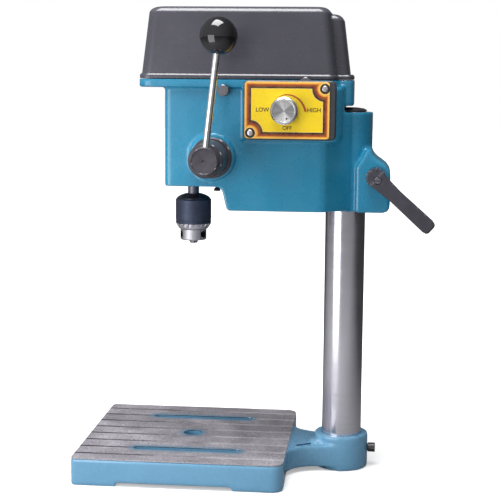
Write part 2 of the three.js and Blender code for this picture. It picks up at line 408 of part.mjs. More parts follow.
// ---- feed ---------------------------------------------------------------
{
  const n = PIN_TEETH, ph = Math.PI, prof = [];
  for (let i = 0; i < n; i++) for (const [a, r] of [[-6.4, 7.85], [-1.9, 9.85], [1.9, 9.85], [6.4, 7.85]]) {
    const t = ph + 2 * Math.PI * i / n + a * Math.PI / 180;
    prof.push(V2(PIN_Y + r * Math.cos(t), PIN_Z + r * Math.sin(t)));
  }
  let sh = extrudeX(prof, -7, 7).add(turnX([[0, -50], [2.9, -50], [2.9, -38], [6, -38], [6, 56], [0, 56]], PIN_Y, PIN_Z, 28));
  piece('pinion_shaft', sh, STEEL, 0.3, 0.9);
  // stepped hub: wide flange, barrel, front cap with a rim
  const rd = [0, Math.sin(ROD_TILT), Math.cos(ROD_TILT)];
  const onRod = (t) => [ROD_X, PIN_Y + rd[1] * t, PIN_Z + rd[2] * t];
  let hub = turnX([[0, 42], [14.6, 42], [15.3, 42.7], [15.3, 45.6], [14.6, 46.4], [12.8, 46.4], [12.8, 76.4], [12.2, 77.4], [10.4, 78.2], [10.4, 86.8], [9.8, 87.5], [8.9, 87.5], [8.6, 86.9], [1.3, 86.7], [0.8, 85.8], [0, 85.8]], PIN_Y, PIN_Z, 40);
  hub = hub.subtract(cylX(6.2, 30, 56.3, PIN_Y, PIN_Z, 28));
  hub = hub.subtract(cylA(ROD_R + 0.25, onRod(2), onRod(20), 16));
  piece('feed_hub', hub, DARK, 0.45, 0.7);
  piece('handle_rod', turnAxis([[0, 2.4], [ROD_R, 2.4], [ROD_R, ROD_LEN - 6.4], [1.7, ROD_LEN - 6], [1.7, ROD_LEN + 2], [0, ROD_LEN + 2]], [ROD_X, PIN_Y, PIN_Z], rd, 20), BRIGHT, 0.08, 1);
  const ballProf = [[0, -BALL_R * 0.95]];
  for (let i = 0; i <= 10; i++) {
    const t = -Math.PI / 2 + 0.32 + (Math.PI - 0.32) * i / 10;
    ballProf.push([i === 10 ? 0 : BALL_R * Math.cos(t), BALL_R * Math.sin(t)]);
  }
  let ball = turnAxis(ballProf, onRod(ROD_LEN), rd, 32);
  ball = ball.subtract(cylA(2.9, onRod(ROD_LEN - 20), onRod(ROD_LEN - 5.4), 16)).subtract(cylA(2.1, onRod(ROD_LEN - 8), onRod(ROD_LEN + 2.6), 14));
  piece('handle_ball', ball, 0x101012, 0.12, 0);
  // return spring in its housing, far side
  let sp = turnX([[0, -52.4], [12.6, -52.4], [13.8, -51.4], [13.8, -39], [0, -39]], PIN_Y, PIN_Z, 36).subtract(cylX(12.2, -50.6, -30, PIN_Y, PIN_Z, 32));
  piece('spring_housing', sp, 0x3a3c40, 0.45, 0.5);
  const s = [];
  const T = 3.2 * 2 * Math.PI, N = 42;
  const rr = (t) => 3.7 + 7.3 * t / T;
  for (let i = 0; i <= N; i++) { const t = T * i / N; s.push(V2(PIN_Y + (rr(t) + 0.5) * Math.cos(t), PIN_Z + (rr(t) + 0.5) * Math.sin(t))); }
  for (let i = N; i >= 0; i--) { const t = T * i / N; s.push(V2(PIN_Y + rr(t) * Math.cos(t), PIN_Z + rr(t) * Math.sin(t))); }
  piece('return_spring', extrudeX(s, -49.4, -40.4), 0x5a6068, 0.3, 0.9);
}

// ---- speed control ------------------------------------------------------
{
  const outline = (o, r) => rounded([[BOX.y0 + o, BOX.z0 + o, r], [BOX.y1 - o, BOX.z0 + o, r], [BOX.y1 - o, BOX.z1 - o, r], [BOX.y0 + o, BOX.z1 - o, r]], 4);
  let b = extrudeX(outline(0, 4), BOX.x0, BOX.x1).subtract(extrudeX(outline(2, 2), BOX.x0 - 1, BOX.x1 - 2));
  b = b.subtract(cylX(3.6, 40, 60, KNOB_Y, KNOB_Z, 20));
  b = b.subtract(box(30, 45.4, 85.6, 95.6, 290, 310));
  for (const [y, z] of SCREWS) b = b.add(cylX(3.6, BOX.x0, BOX.x1 - 1, y, z, 16)).subtract(cylX(1.7, 44, 60, y, z, 12));
  piece('control_box', b, 0x1d1f24, 0.5, 0);
  let p = extrudeX(rounded([[PLATE.y0, PLATE.z0, 2.5], [PLATE.y1, PLATE.z0, 2.5], [PLATE.y1, PLATE.z1, 2.5], [PLATE.y0, PLATE.z1, 2.5]], 4), PLATE.x0, PLATE.x1);
  p = p.subtract(cylX(3.9, 40, 60, KNOB_Y, KNOB_Z, 20));
  for (const [y, z] of SCREWS) p = p.subtract(cylX(3.25, 40, 60, y, z, 20));
  piece('control_plate', p, 0xf0c808, 0.4, 0.1);
  SCREWS.forEach(([y, z], i) => piece('panel_screw_' + (i + 1),
    turnX([[0, 44.6], [1.45, 44.6], [1.45, 49.8], [2.45, 49.8], [2.45, 50.6], [1.9, 51.3], [0, 51.5]], y, z, 16), BRIGHT, 0.25, 1));
  piece('speed_knob', turnX([[0, 54], [3.35, 54], [3.35, 51.2], [KNOB_R, 51.2], [KNOB_R, 52.6], [KNOB_R - 0.5, 53.2], [KNOB_R - 0.8, 61], [KNOB_R - 1.5, 61.9], [0, 62.1]], KNOB_Y, KNOB_Z, 36), BRIGHT, 0.3, 1);
  piece('pot_shaft', cylX(3, 46.2, 53.6, KNOB_Y, KNOB_Z, 18), STEEL, 0.3, 0.9);
  piece('potentiometer', turnX([[3.3, 41.6], [7.8, 41.6], [7.8, 45.8], [3.3, 45.8], [3.3, 41.6]], KNOB_Y, KNOB_Z, 24), 0x7a7a7e, 0.4, 0.6);
  piece('control_board', extrudeX(rect(55, 67.5, 263, 292, 0), 42, 43.6), 0x2f6b3a, 0.5, 0);
}

// ---- column clamp -------------------------------------------------------
{
  piece('clamp_screw', cylX(3.1, -27.5, 36, CLAMP_Y, CLAMP_Z, 18), 0x505256, 0.4, 0.8);
  piece('clamp_nut', extrudeX(circle(CLAMP_Y, CLAMP_Z, 5.75, 6), -25.6, -20).subtract(cylX(3.4, -40, 0, CLAMP_Y, CLAMP_Z, 18)), 0x505256, 0.4, 0.8);
  // serrated hub and long flat arm, splayed outward a little
  const d = [Math.cos(LEVER_ANGLE), Math.sin(LEVER_ANGLE)], nrm = [-d[1], d[0]];
  const P = (t, w) => V2(CLAMP_Y + d[0] * t + nrm[0] * w, CLAMP_Z + d[1] * t + nrm[1] * w);
  const teeth = [];
  for (let i = 0; i < 14; i++) for (const [f, r] of [[0.05, 7.6], [0.45, 7.6], [0.55, 6.5], [0.95, 6.5]]) {
    const t = 2 * Math.PI * (i + f) / 14;
    teeth.push(V2(CLAMP_Y + r * Math.cos(t), CLAMP_Z + r * Math.sin(t)));
  }
  let lv = extrudeX(teeth, EAR_HW + 0.6, 41.6);
  const arm = [P(0, -6.6), P(20, -5.2), P(LEVER_LEN - 4, -5.6), P(LEVER_LEN - 1, -4.8), P(LEVER_LEN, -3), P(LEVER_LEN, 3), P(LEVER_LEN - 1, 4.8), P(LEVER_LEN - 4, 5.6), P(20, 5.2), P(0, 6.6)];
  let bar = extrudeX(arm, 34, 42.4);
  lv = lv.add(bar);
  lv = lv.subtract(cylX(3.3, 10, 36.4, CLAMP_Y, CLAMP_Z, 18)).subtract(cylX(3.1, 38.6, 60, CLAMP_Y + 1.6, CLAMP_Z - 1.6, 16));
  piece('clamp_lever', lv, 0x3a383a, 0.6, 0.3);
  piece('lever_screw', turnX([[0, 38.9], [2.8, 38.9], [2.8, 41.6], [1.3, 41.6], [1.3, 40.4], [0, 40.4]], CLAMP_Y + 1.6, CLAMP_Z - 1.6, 16), 0x1a1a1a, 0.35, 0.8);
}

// ---- power inlet --------------------------------------------------------
{
  piece('power_inlet', turnX([[0, -38.4], [2.7, -38.4], [2.7, -41.2], [7.4, -41.2], [7.4, -37.3], [5.6, -37.3], [5.6, -29], [0, -29]].map(([r, x]) => [r, x]), 96, 226, 24), BLACK, 0.4, 0);
}

export default group;
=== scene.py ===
"""Small bench drill press: the finished model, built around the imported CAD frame."""
import math

import bmesh
import bpy
from mathutils import Matrix, Vector


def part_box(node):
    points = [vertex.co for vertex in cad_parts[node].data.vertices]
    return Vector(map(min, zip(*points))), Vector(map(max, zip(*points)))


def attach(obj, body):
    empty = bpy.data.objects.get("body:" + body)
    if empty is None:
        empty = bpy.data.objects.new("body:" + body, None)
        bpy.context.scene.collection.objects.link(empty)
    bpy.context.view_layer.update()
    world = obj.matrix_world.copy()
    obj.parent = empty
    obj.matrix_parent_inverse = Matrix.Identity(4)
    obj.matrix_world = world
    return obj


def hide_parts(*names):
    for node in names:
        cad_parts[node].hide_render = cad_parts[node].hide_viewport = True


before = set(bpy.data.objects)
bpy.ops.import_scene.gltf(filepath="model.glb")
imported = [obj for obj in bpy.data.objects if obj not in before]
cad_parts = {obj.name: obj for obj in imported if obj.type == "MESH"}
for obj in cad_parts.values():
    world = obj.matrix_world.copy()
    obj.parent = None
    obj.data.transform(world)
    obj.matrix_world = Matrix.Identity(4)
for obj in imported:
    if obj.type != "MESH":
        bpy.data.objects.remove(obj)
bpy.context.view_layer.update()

COLL = bpy.context.scene.collection
PI = math.pi

# Design coordinates are in millimetres, with the middle of the table over the origin and the
# floor at z 0. The column's box in the frame ties them to the CAD.
COL_Y = 120.26
_lo, _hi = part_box("column_tube")
OX = -500.0 * (_lo[0] + _hi[0])
OY = COL_Y - 500.0 * (_lo[1] + _hi[1])
TO_FRAME = Matrix.Translation((-OX * 0.001, -OY * 0.001, 0.0)) @ Matrix.Scale(0.001, 4)

# ------------------------------------------------------------------ dimensions (as the CAD)
BASE_H, TABLE_Z, SKIRT_Z = 80.0, 21.0, 2.6
SP_Y = 1.5
PIN_Y, PIN_Z = 21.2, 244.6
ROD_X, ROD_TILT, ROD_LEN, ROD_R, BALL_R = 82.0, math.radians(6.34), 89.2, 2.6, 13.5
CLAMP_Y, CLAMP_Z, LEVER_LEN, LEVER_A = 143.2, 231.0, 56.5, math.radians(-42)
KNOB_Y, KNOB_Z, KNOB_R = 76.2, 280.4, 10.0
MOTOR_Y = 62.0
PLATE = dict(y0=46.4, y1=108.8, z0=259.7, z1=301.3, x0=49.8, x1=50.6)
BOX = dict(y0=45.4, y1=113.4, z0=258.6, z1=302.2, x0=40.7, x1=49.5)
SCREWS = [(105.3, 296.3), (50.6, 263.8)]


# ------------------------------------------------------------------ mesh helpers
def link(me, name="t"):
    ob = bpy.data.objects.new(name, me)
    COLL.objects.link(ob)
    return ob


def mesh(verts, faces):
    me = bpy.data.meshes.new("m")
    me.from_pydata([tuple(v) for v in verts], [], faces)
    bm = bmesh.new()
    bm.from_mesh(me)
    bmesh.ops.remove_doubles(bm, verts=bm.verts, dist=1e-5)
    bmesh.ops.recalc_face_normals(bm, faces=bm.faces)
    bm.to_mesh(me)
    bm.free()
    me.update()
    return link(me)


def rounded(corners, segs=8):
    """Polygon with round corners: each corner is (x, y, radius), anticlockwise."""
    out, n = [], len(corners)
    for i, c in enumerate(corners):
        r = c[2] if len(c) > 2 else 0
        p = Vector(c[:2])
        if r < 1e-6:
            out.append(p)
            continue
        u = (Vector(corners[i - 1][:2]) - p).normalized()
        v = (Vector(corners[(i + 1) % n][:2]) - p).normalized()
        ang = math.acos(max(-1, min(1, u.dot(v))))
        d = r / math.tan(ang / 2)
        k = p + (u + v).normalized() * (r / math.sin(ang / 2))
        p0, p1 = p + u * d, p + v * d
        a0 = math.atan2(p0.y - k.y, p0.x - k.x)
        da = math.atan2(p1.y - k.y, p1.x - k.x) - a0
        while da > PI:
            da -= 2 * PI
        while da < -PI:
            da += 2 * PI
        for s in range(segs + 1):
            t = a0 + da * s / segs
            out.append(Vector((k.x + r * math.cos(t), k.y + r * math.sin(t))))
    return out


def circle(cx, cy, r, n=48, ph=0.0):
    return [Vector((cx + r * math.cos(ph + 2 * PI * i / n), cy + r * math.sin(ph + 2 * PI * i / n))) for i in range(n)]


def inset(pts, e):
    if abs(e) < 1e-9:
        return list(pts)
    out, n = [], len(pts)
    for i in range(n):
        d1, d2 = (pts[i] - pts[i - 1]).normalized(), (pts[(i + 1) % n] - pts[i]).normalized()
        n1, n2 = Vector((-d1.y, d1.x)), Vector((-d2.y, d2.x))
        out.append(pts[i] + (n1 + n2) * (e / max(0.25, 1 + n1.dot(n2))))
    return out


def rings(levels, axis="z"):
    """Skins a stack of outlines with equal point counts: levels are (height, points)."""
    n, verts, faces = len(levels[0][1]), [], []
    for h, pts in levels:
        for p in pts:
            verts.append((p[0], p[1], h) if axis == "z" else (h, p[0], p[1]))
    for k in range(len(levels) - 1):
        for i in range(n):
            j = (i + 1) % n
            faces.append((k * n + i, k * n + j, (k + 1) * n + j, (k + 1) * n + i))
    faces.append(tuple(reversed(range(n))))
    faces.append(tuple((len(levels) - 1) * n + i for i in range(n)))
    return mesh(verts, faces)


def prism(pts, a, b, axis="z", lo=0.0, hi=0.0, segs=3):
    """Extruded outline with a rounded lower (lo) and upper (hi) edge."""
    lv = []
    for k in range(segs + 1 if lo else 1):
        t = PI / 2 * k / segs if lo else PI / 2
        lv.append((a + lo * (1 - math.cos(t)), inset(pts, lo * (1 - math.sin(t)))))
    for k in range(segs + 1 if hi else 1):
        t = PI / 2 * (1 - k / segs) if hi else PI / 2
        lv.append((b - hi * (1 - math.cos(t)), inset(pts, hi * (1 - math.sin(t)))))
    return rings(lv, axis)


def soft(profile, rad=0.3, segs=3, closed=False):
    """Rounds the corners of a turned profile of (radius, height[, corner radius])."""
    out, n = [], len(profile)
    for i, p in enumerate(profile):
        q = Vector(p[:2])
        r = p[2] if len(p) > 2 else rad
        if (not closed and i in (0, n - 1)) or r <= 0:
            out.append(tuple(q))
            continue
        a, b = Vector(profile[i - 1][:2]) - q, Vector(profile[(i + 1) % n][:2]) - q
        la, lb = a.length, b.length
        if la < 1e-6 or lb < 1e-6:
            out.append(tuple(q))
            continue
        u, v = a / la, b / lb
        ang = math.acos(max(-1, min(1, u.dot(v))))
        if ang > math.radians(176) or ang < math.radians(4):
            out.append(tuple(q))
            continue
        d = min(r / math.tan(ang / 2), 0.45 * min(la, lb))
        r = d * math.tan(ang / 2)
        k = q + (u + v).normalized() * (r / math.sin(ang / 2))
        p0, p1 = q + u * d, q + v * d
        a0 = math.atan2(p0.y - k.y, p0.x - k.x)
        da = math.atan2(p1.y - k.y, p1.x - k.x) - a0
        while da > PI:
            da -= 2 * PI
        while da < -PI:
            da += 2 * PI
        for s in range(segs + 1):
            t = a0 + da * s / segs
            out.append((max(0.0, k.x + r * math.cos(t)), k.y + r * math.sin(t)))
    return out


def turn(profile, p=(0, 0, 0), d=(0, 0, 1), seg=96):
    """Turns (radius, distance) about the axis from p along d. A profile that misses the axis closes on itself."""
    closed = profile[0][0] > 1e-6 or profile[-1][0] > 1e-6
    if closed and (Vector(profile[0]) - Vector(profile[-1])).length < 1e-6:
        profile = profile[:-1]
    rot = Vector((0, 0, 1)).rotation_difference(Vector(d).normalized()).to_matrix()
    p = Vector(p)
    verts, idx, faces = [], [], []
    for r, h in profile:
        if r < 1e-6:
            idx.append([len(verts)] * seg)
            verts.append(p + rot @ Vector((0, 0, h)))
        else:
            idx.append(list(range(len(verts), len(verts) + seg)))
            for i in range(seg):
                t = 2 * PI * i / seg
                verts.append(p + rot @ Vector((r * math.cos(t), r * math.sin(t), h)))
    n = len(profile)
    for k in range(n if closed else n - 1):
        a, b = idx[k], idx[(k + 1) % n]
        for i in range(seg):
            j = (i + 1) % seg
            f = []
            for q in (a[i], a[j], b[j], b[i]):
                if q not in f:
                    f.append(q)
            if len(f) > 2:
                faces.append(tuple(f))
    return mesh(verts, faces)


def turn_z(profile, x=0.0, y=0.0, seg=96):
    return turn(profile, (x, y, 0), (0, 0, 1), seg)


def turn_x(profile, y, z, seg=96):
    return turn(profile, (0, y, z), (1, 0, 0), seg)


def cyl_z(r, z0, z1, x=0.0, y=0.0, seg=64):
    return turn_z([(0, z0), (r, z0), (r, z1), (0, z1)], x, y, seg)


def cyl_x(r, x0, x1, y, z, seg=48):
    return turn_x([(0, x0), (r, x0), (r, x1), (0, x1)], y, z, seg)


def rod(r, a, b, seg=32):
    a, b = Vector(a), Vector(b)
    return turn([(0, 0), (r, 0), (r, (b - a).length), (0, (b - a).length)], a, b - a, seg)


def box(x0, x1, y0, y1, z0, z1):
    return prism([Vector(q) for q in ((x0, y0), (x1, y0), (x1, y1), (x0, y1))], z0, z1)


def bake(ob):
    dg = bpy.context.evaluated_depsgraph_get()
    me = bpy.data.meshes.new_from_object(ob.evaluated_get(dg))
    old = ob.data
    ob.modifiers.clear()
    ob.data = me
    bpy.data.meshes.remove(old)
    return ob


def join(*obs):
    """One mesh of several closed shells that don't touch."""
    bm = bmesh.new()
    for o in obs:
        bm.from_mesh(o.data)
        me = o.data
        bpy.data.objects.remove(o)
        bpy.data.meshes.remove(me)
    me = bpy.data.meshes.new("j")
    bm.to_mesh(me)
    bm.free()
    return link(me)


def boolean(a, b, op):
    m = a.modifiers.new("b", "BOOLEAN")
    m.operation, m.object, m.solver = op, b, "MANIFOLD"
    bake(a)
    me = b.data
    bpy.data.objects.remove(b)
    bpy.data.meshes.remove(me)
    return a


def add(a, *bs):
    for b in bs:
        a = boolean(a, b, "UNION")
    return a


def cut(a, *bs):
    for b in bs:
        a = boolean(a, b, "DIFFERENCE")
    return a


def common(a, b):
    return boolean(a, b, "INTERSECT")


def cast(ob, voxel, iterations=6, factor=0.5):
    """Gives a union of blocks the rounded edges and fillets of a casting."""
    m = ob.modifiers.new("r", "REMESH")
    m.mode, m.voxel_size, m.adaptivity = "VOXEL", voxel, 0.0
    s = ob.modifiers.new("s", "SMOOTH")
    s.factor, s.iterations = factor, iterations
    return bake(ob)


def bevel(ob, width, segs=2, angle=30):
    m = ob.modifiers.new("v", "BEVEL")
    m.width, m.segments, m.limit_method, m.angle_limit = width, segs, "ANGLE", math.radians(angle)
    m.use_clamp_overlap = True
    return bake(ob)


USED = set()


def piece(name, ob, body, mat, nodes=(), sharp=32, weighted=True):
    assert name not in USED, name
    USED.add(name)
    ob.name = name
    ob.data.name = name
    ob.data.transform(TO_FRAME)
    ob.data.materials.clear()
    ob.data.materials.append(mat)
    for q in ob.data.polygons:
        q.use_smooth = True
        q.material_index = 0
    ob.data.set_sharp_from_angle(angle=math.radians(sharp))
    if weighted:
        m = ob.modifiers.new("wn", "WEIGHTED_NORMAL")
        m.keep_sharp, m.weight = True, 60
    if nodes:
        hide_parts(*nodes)
    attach(ob, body)
    return ob


# ------------------------------------------------------------------ materials
class Mat:
    def __init__(self, name, color=(0.5, 0.5, 0.5), metallic=0.0, roughness=0.5, **sockets):
        self.m = bpy.data.materials.new(name)
        self.m.use_nodes = True
        self.t = self.m.node_tree
        self.b = self.t.nodes["Principled BSDF"]
        self.b.inputs["Base Color"].default_value = (*color, 1)
        self.b.inputs["Metallic"].default_value = metallic
        self.b.inputs["Roughness"].default_value = roughness
        for k, v in sockets.items():
            self.b.inputs[k.replace("_", " ")].default_value = v
        self.co = self.n("ShaderNodeTexCoord").outputs["Object"]

    def n(self, kind, ins=None, **props):
        nd = self.t.nodes.new(kind)
        for k, v in props.items():
            setattr(nd, k, v)
        for k, v in (ins or {}).items():
            self.put(nd.inputs[k], v)
        return nd

    def put(self, sock, v):
        if isinstance(v, bpy.types.NodeSocket):
            self.t.links.new(v, sock)
        else:
            sock.default_value = v

    def math(self, op, a, b=None, c=None):
        nd = self.t.nodes.new("ShaderNodeMath")
        nd.operation = op
        for i, v in enumerate((a, b, c)):
            if v is not None:
                self.put(nd.inputs[i], v)
        return nd.outputs[0]

    def scaled(self, sx, sy, sz):
        return self.n("ShaderNodeMapping", {"Vector": self.co, "Scale": (sx, sy, sz)}).outputs[0]

    def noise(self, scale, detail=3.0, rough=0.5, vec=None, dist=0.0):
        return self.n("ShaderNodeTexNoise", {"Vector": vec or self.co, "Scale": scale, "Detail": detail, "Roughness": rough, "Distortion": dist}).outputs["Fac"]

    def ramp(self, fac, stops, interp="LINEAR"):
        nd = self.n("ShaderNodeValToRGB", {"Fac": fac})
        cr = nd.color_ramp
        cr.interpolation = interp
        while len(cr.elements) < len(stops):
            cr.elements.new(0.5)
        for e, (p, c) in zip(cr.elements, stops):
            e.position = p
            e.color = (*c, 1) if len(c) == 3 else c
        return nd.outputs["Color"]

    def span(self, v, a, b, c, d):
        return self.n("ShaderNodeMapRange", {"Value": v, "From Min": a, "From Max": b, "To Min": c, "To Max": d}).outputs[0]

    def mix(self, fac, a, b, blend="MIX"):
        nd = self.n("ShaderNodeMix", data_type="RGBA", blend_type=blend)
        for k, v in ((0, fac), (6, a), (7, b)):
            self.put(nd.inputs[k], (*v, 1) if isinstance(v, tuple) and len(v) == 3 else v)
        return nd.outputs[2]

    def bump(self, height, strength, distance, normal=None):
        nd = self.n("ShaderNodeBump", {"Height": height, "Strength": strength, "Distance": distance})
        if normal is not None:
            self.put(nd.inputs["Normal"], normal)
        return nd.outputs[0]

    def color(self, c):
        self.put(self.b.inputs["Base Color"], c)

    def rough(self, r):
        self.put(self.b.inputs["Roughness"], r)

    def normal(self, v):
        self.put(self.b.inputs["Normal"], v)

    def edges(self, lo=0.53, hi=0.6):
        """1 on convex edges, 0 on flats: the mask for edge wear and for painted edge highlights."""
        p = self.n("ShaderNodeNewGeometry").outputs["Pointiness"]
        return self.span(p, lo, hi, 0.0, 1.0)


def enamel(name, base, light, dark, edge):
    """Gloss paint over cast metal: slow tone changes, orange peel, fine dust, paler thin edges that also carry a
    painted highlight along the edges.
    """
    m = Mat(name, base, 0.0, 0.26, Coat_Weight=0.45, Coat_Roughness=0.1, Specular_IOR_Level=0.5)
    tone = m.noise(14, 3, 0.55)
    c = m.ramp(tone, [(0.25, dark), (0.5, base), (0.78, light)])
    speck = m.span(m.noise(900, 2, 0.6), 0.66, 0.74, 0.0, 0.35)
    c = m.mix(speck, c, light)
    # paler convex edges: partly thinner paint, partly a painted highlight along the edges
    c = m.mix(m.math("MULTIPLY", m.edges(0.56, 0.7), 0.16), c, edge)
    c = m.mix(m.span(m.noise(5, 2, 0.5), 0.3, 0.7, 0.0, 0.3), c, dark)
    m.color(c)
    m.rough(m.span(m.noise(60, 4, 0.6), 0.3, 0.7, 0.2, 0.36))
    peel = m.bump(m.noise(260, 2, 0.5), 0.12, 0.0006)
    m.normal(m.bump(m.noise(900, 3, 0.6), 0.05, 0.0002, peel))
    return m.m


HEAD_PAINT = enamel("head_enamel", (0.014, 0.235, 0.405), (0.024, 0.275, 0.455), (0.009, 0.19, 0.35), (0.14, 0.48, 0.66))
BASE_PAINT = enamel("base_enamel", (0.145, 0.355, 0.55), (0.175, 0.41, 0.62), (0.12, 0.31, 0.49), (0.4, 0.64, 0.8))


def steel(name, col=(0.62, 0.61, 0.64), rough=0.3, lines=(30, 30, 2600), strength=0.12, dirt=0.25, aniso=0.0, metallic=1.0, tangent=None):
    """Ground or turned bar: fine lines one way, slow stains, roughness that follows both."""
    m = Mat(name, col, metallic, rough, Anisotropic=aniso)
    fine = m.noise(1.0, 4, 0.65, m.scaled(*lines))
    slow = m.noise(38, 3, 0.6)
    c = m.ramp(m.math("MULTIPLY_ADD", fine, 0.55, m.math("MULTIPLY", slow, 0.45)),
               [(0.3, tuple(v * (1 - dirt) for v in col)), (0.55, col), (0.8, tuple(min(1, v * 1.18) for v in col))])
    m.color(c)
    m.rough(m.span(m.math("ADD", m.math("MULTIPLY", fine, 0.5), m.math("MULTIPLY", slow, 0.5)), 0.3, 0.7, rough * 0.75, rough * 1.35))
    m.normal(m.bump(fine, strength, 0.0002))
    if tangent:
        tg = m.n("ShaderNodeTangent", direction_type="RADIAL", axis=tangent)
        m.put(m.b.inputs["Tangent"], tg.outputs[0])
    return m.m


COLUMN_STEEL = steel("column_steel", (0.68, 0.67, 0.74), 0.2, (9, 9, 1500), 0.035, 0.1)
NECK_STEEL = steel("spindle_steel", (0.19, 0.19, 0.225), 0.46, (25, 25, 2400), 0.1, 0.2)
BRIGHT_Z = steel("turned_steel_z", (0.66, 0.65, 0.69), 0.24, (25, 25, 3000), 0.12, 0.2)
BRIGHT_X = steel("turned_steel_x", (0.66, 0.65, 0.69), 0.24, (3000, 25, 25), 0.12, 0.2)
NOSE_STEEL = steel("chuck_nose_steel", (0.5, 0.495, 0.54), 0.46, (30, 30, 3600), 0.1, 0.2)
JAW_STEEL = steel("jaw_steel", (0.36, 0.36, 0.39), 0.3, (40, 40, 1500), 0.1, 0.3)
PULLEY_METAL = steel("turned_alloy", (0.72, 0.72, 0.74), 0.3, (20, 20, 2400), 0.15, 0.15)
MOTOR_METAL = steel("motor_steel_skin", (0.42, 0.43, 0.45), 0.36, (200, 200, 400), 0.08, 0.3)
PLATE_METAL = steel("pressed_plate", (0.55, 0.55, 0.57), 0.38, (1800, 30, 30), 0.1, 0.25)
SPRING_METAL = steel("blued_spring", (0.2, 0.22, 0.27), 0.28, (30, 900, 900), 0.08, 0.3)
CHROME = steel("chromed_rod", (0.88, 0.88, 0.9), 0.11, (60, 60, 240), 0.0015, 0.08)


def blackened(name, col, hi, rough, grain=700, bump=0.25, metallic=0.75, edge=0.6):
    """Blackened or dark cast metal: grainy skin, bright edges from wear and from a painted highlight."""
    m = Mat(name, col, metallic, rough)
    slow = m.noise(90, 4, 0.6)
    grainy = m.noise(grain, 4, 0.65)
    c = m.ramp(m.math("MULTIPLY_ADD", slow, 0.6, m.math("MULTIPLY", grainy, 0.4)), [(0.3, tuple(v * 0.72 for v in col)), (0.55, col), (0.8, tuple(v * 1.35 for v in col))])
    # bright convex edges: partly bare metal from wear, partly a painted highlight along the edges
    c = m.mix(m.math("MULTIPLY", m.edges(0.52, 0.6), edge), c, hi)
    m.color(c)
    m.rough(m.span(grainy, 0.3, 0.7, rough * 0.8, rough * 1.25))
    m.normal(m.bump(grainy, bump, 0.0002))
    return m.m


HUB_BLACK = blackened("hub_black", (0.062, 0.057, 0.072), (0.6, 0.6, 0.64), 0.36, 500, 0.08, 0.2, 0.9)
SLEEVE_BLUED = blackened("chuck_sleeve_blued", (0.056, 0.07, 0.115), (0.35, 0.38, 0.45), 0.5, 620, 0.14, 0.7, 0.35)
SHOULDER_BLACK = blackened("chuck_shoulder", (0.05, 0.052, 0.068), (0.3, 0.32, 0.36), 0.3, 560, 0.1, 0.7, 0.3)
BOLT_DARK = blackened("bolt_dark", (0.026, 0.026, 0.031), (0.34, 0.34, 0.38), 0.3, 500, 0.1, 0.4, 0.4)
LEVER_CAST = blackened("lever_cast", (0.062, 0.058, 0.075), (0.34, 0.33, 0.36), 0.4, 620, 0.55, 0.3, 0.6)
SCREW_BLACK = blackened("screw_black", (0.05, 0.05, 0.055), (0.35, 0.35, 0.37), 0.36, 500, 0.12)


def plastic(name, col, rough, grain, bump, scuffs=0.12):
    m = Mat(name, col, 0.0, rough, Specular_IOR_Level=0.62)
    tone = m.noise(22, 3, 0.55)
    c = m.ramp(tone, [(0.25, tuple(v * 0.82 for v in col)), (0.75, tuple(v * 1.22 for v in col))])
    drag = m.noise(1.0, 5, 0.7, m.scaled(40, 26, 900))
    c = m.mix(m.span(drag, 0.56, 0.75, 0.0, scuffs), c, tuple(min(1, v * 3.2 + 0.02) for v in col))
    m.color(c)
    m.rough(m.span(m.noise(140, 4, 0.6), 0.3, 0.7, rough * 0.85, rough * 1.15))
    m.normal(m.bump(m.noise(grain, 2, 0.5), bump, 0.00015))
    return m.m


COVER_PLASTIC = plastic("cover_satin_black", (0.054, 0.053, 0.07), 0.25, 1500, 0.1)
BOX_PLASTIC = plastic("box_black", (0.03, 0.034, 0.042), 0.36, 1300, 0.2)
CAP_PLASTIC = plastic("cap_black", (0.022, 0.022, 0.026), 0.42, 1200, 0.25)
BALL_PLASTIC = plastic("ball_phenolic", (0.008, 0.008, 0.011), 0.07, 300, 0.01, 0.02)
BELT_RUBBER = plastic("belt_rubber_mat", (0.018, 0.018, 0.019), 0.75, 900, 0.5)
BOARD_GREEN = plastic("board_green_mat", (0.03, 0.17, 0.07), 0.4, 800, 0.1)


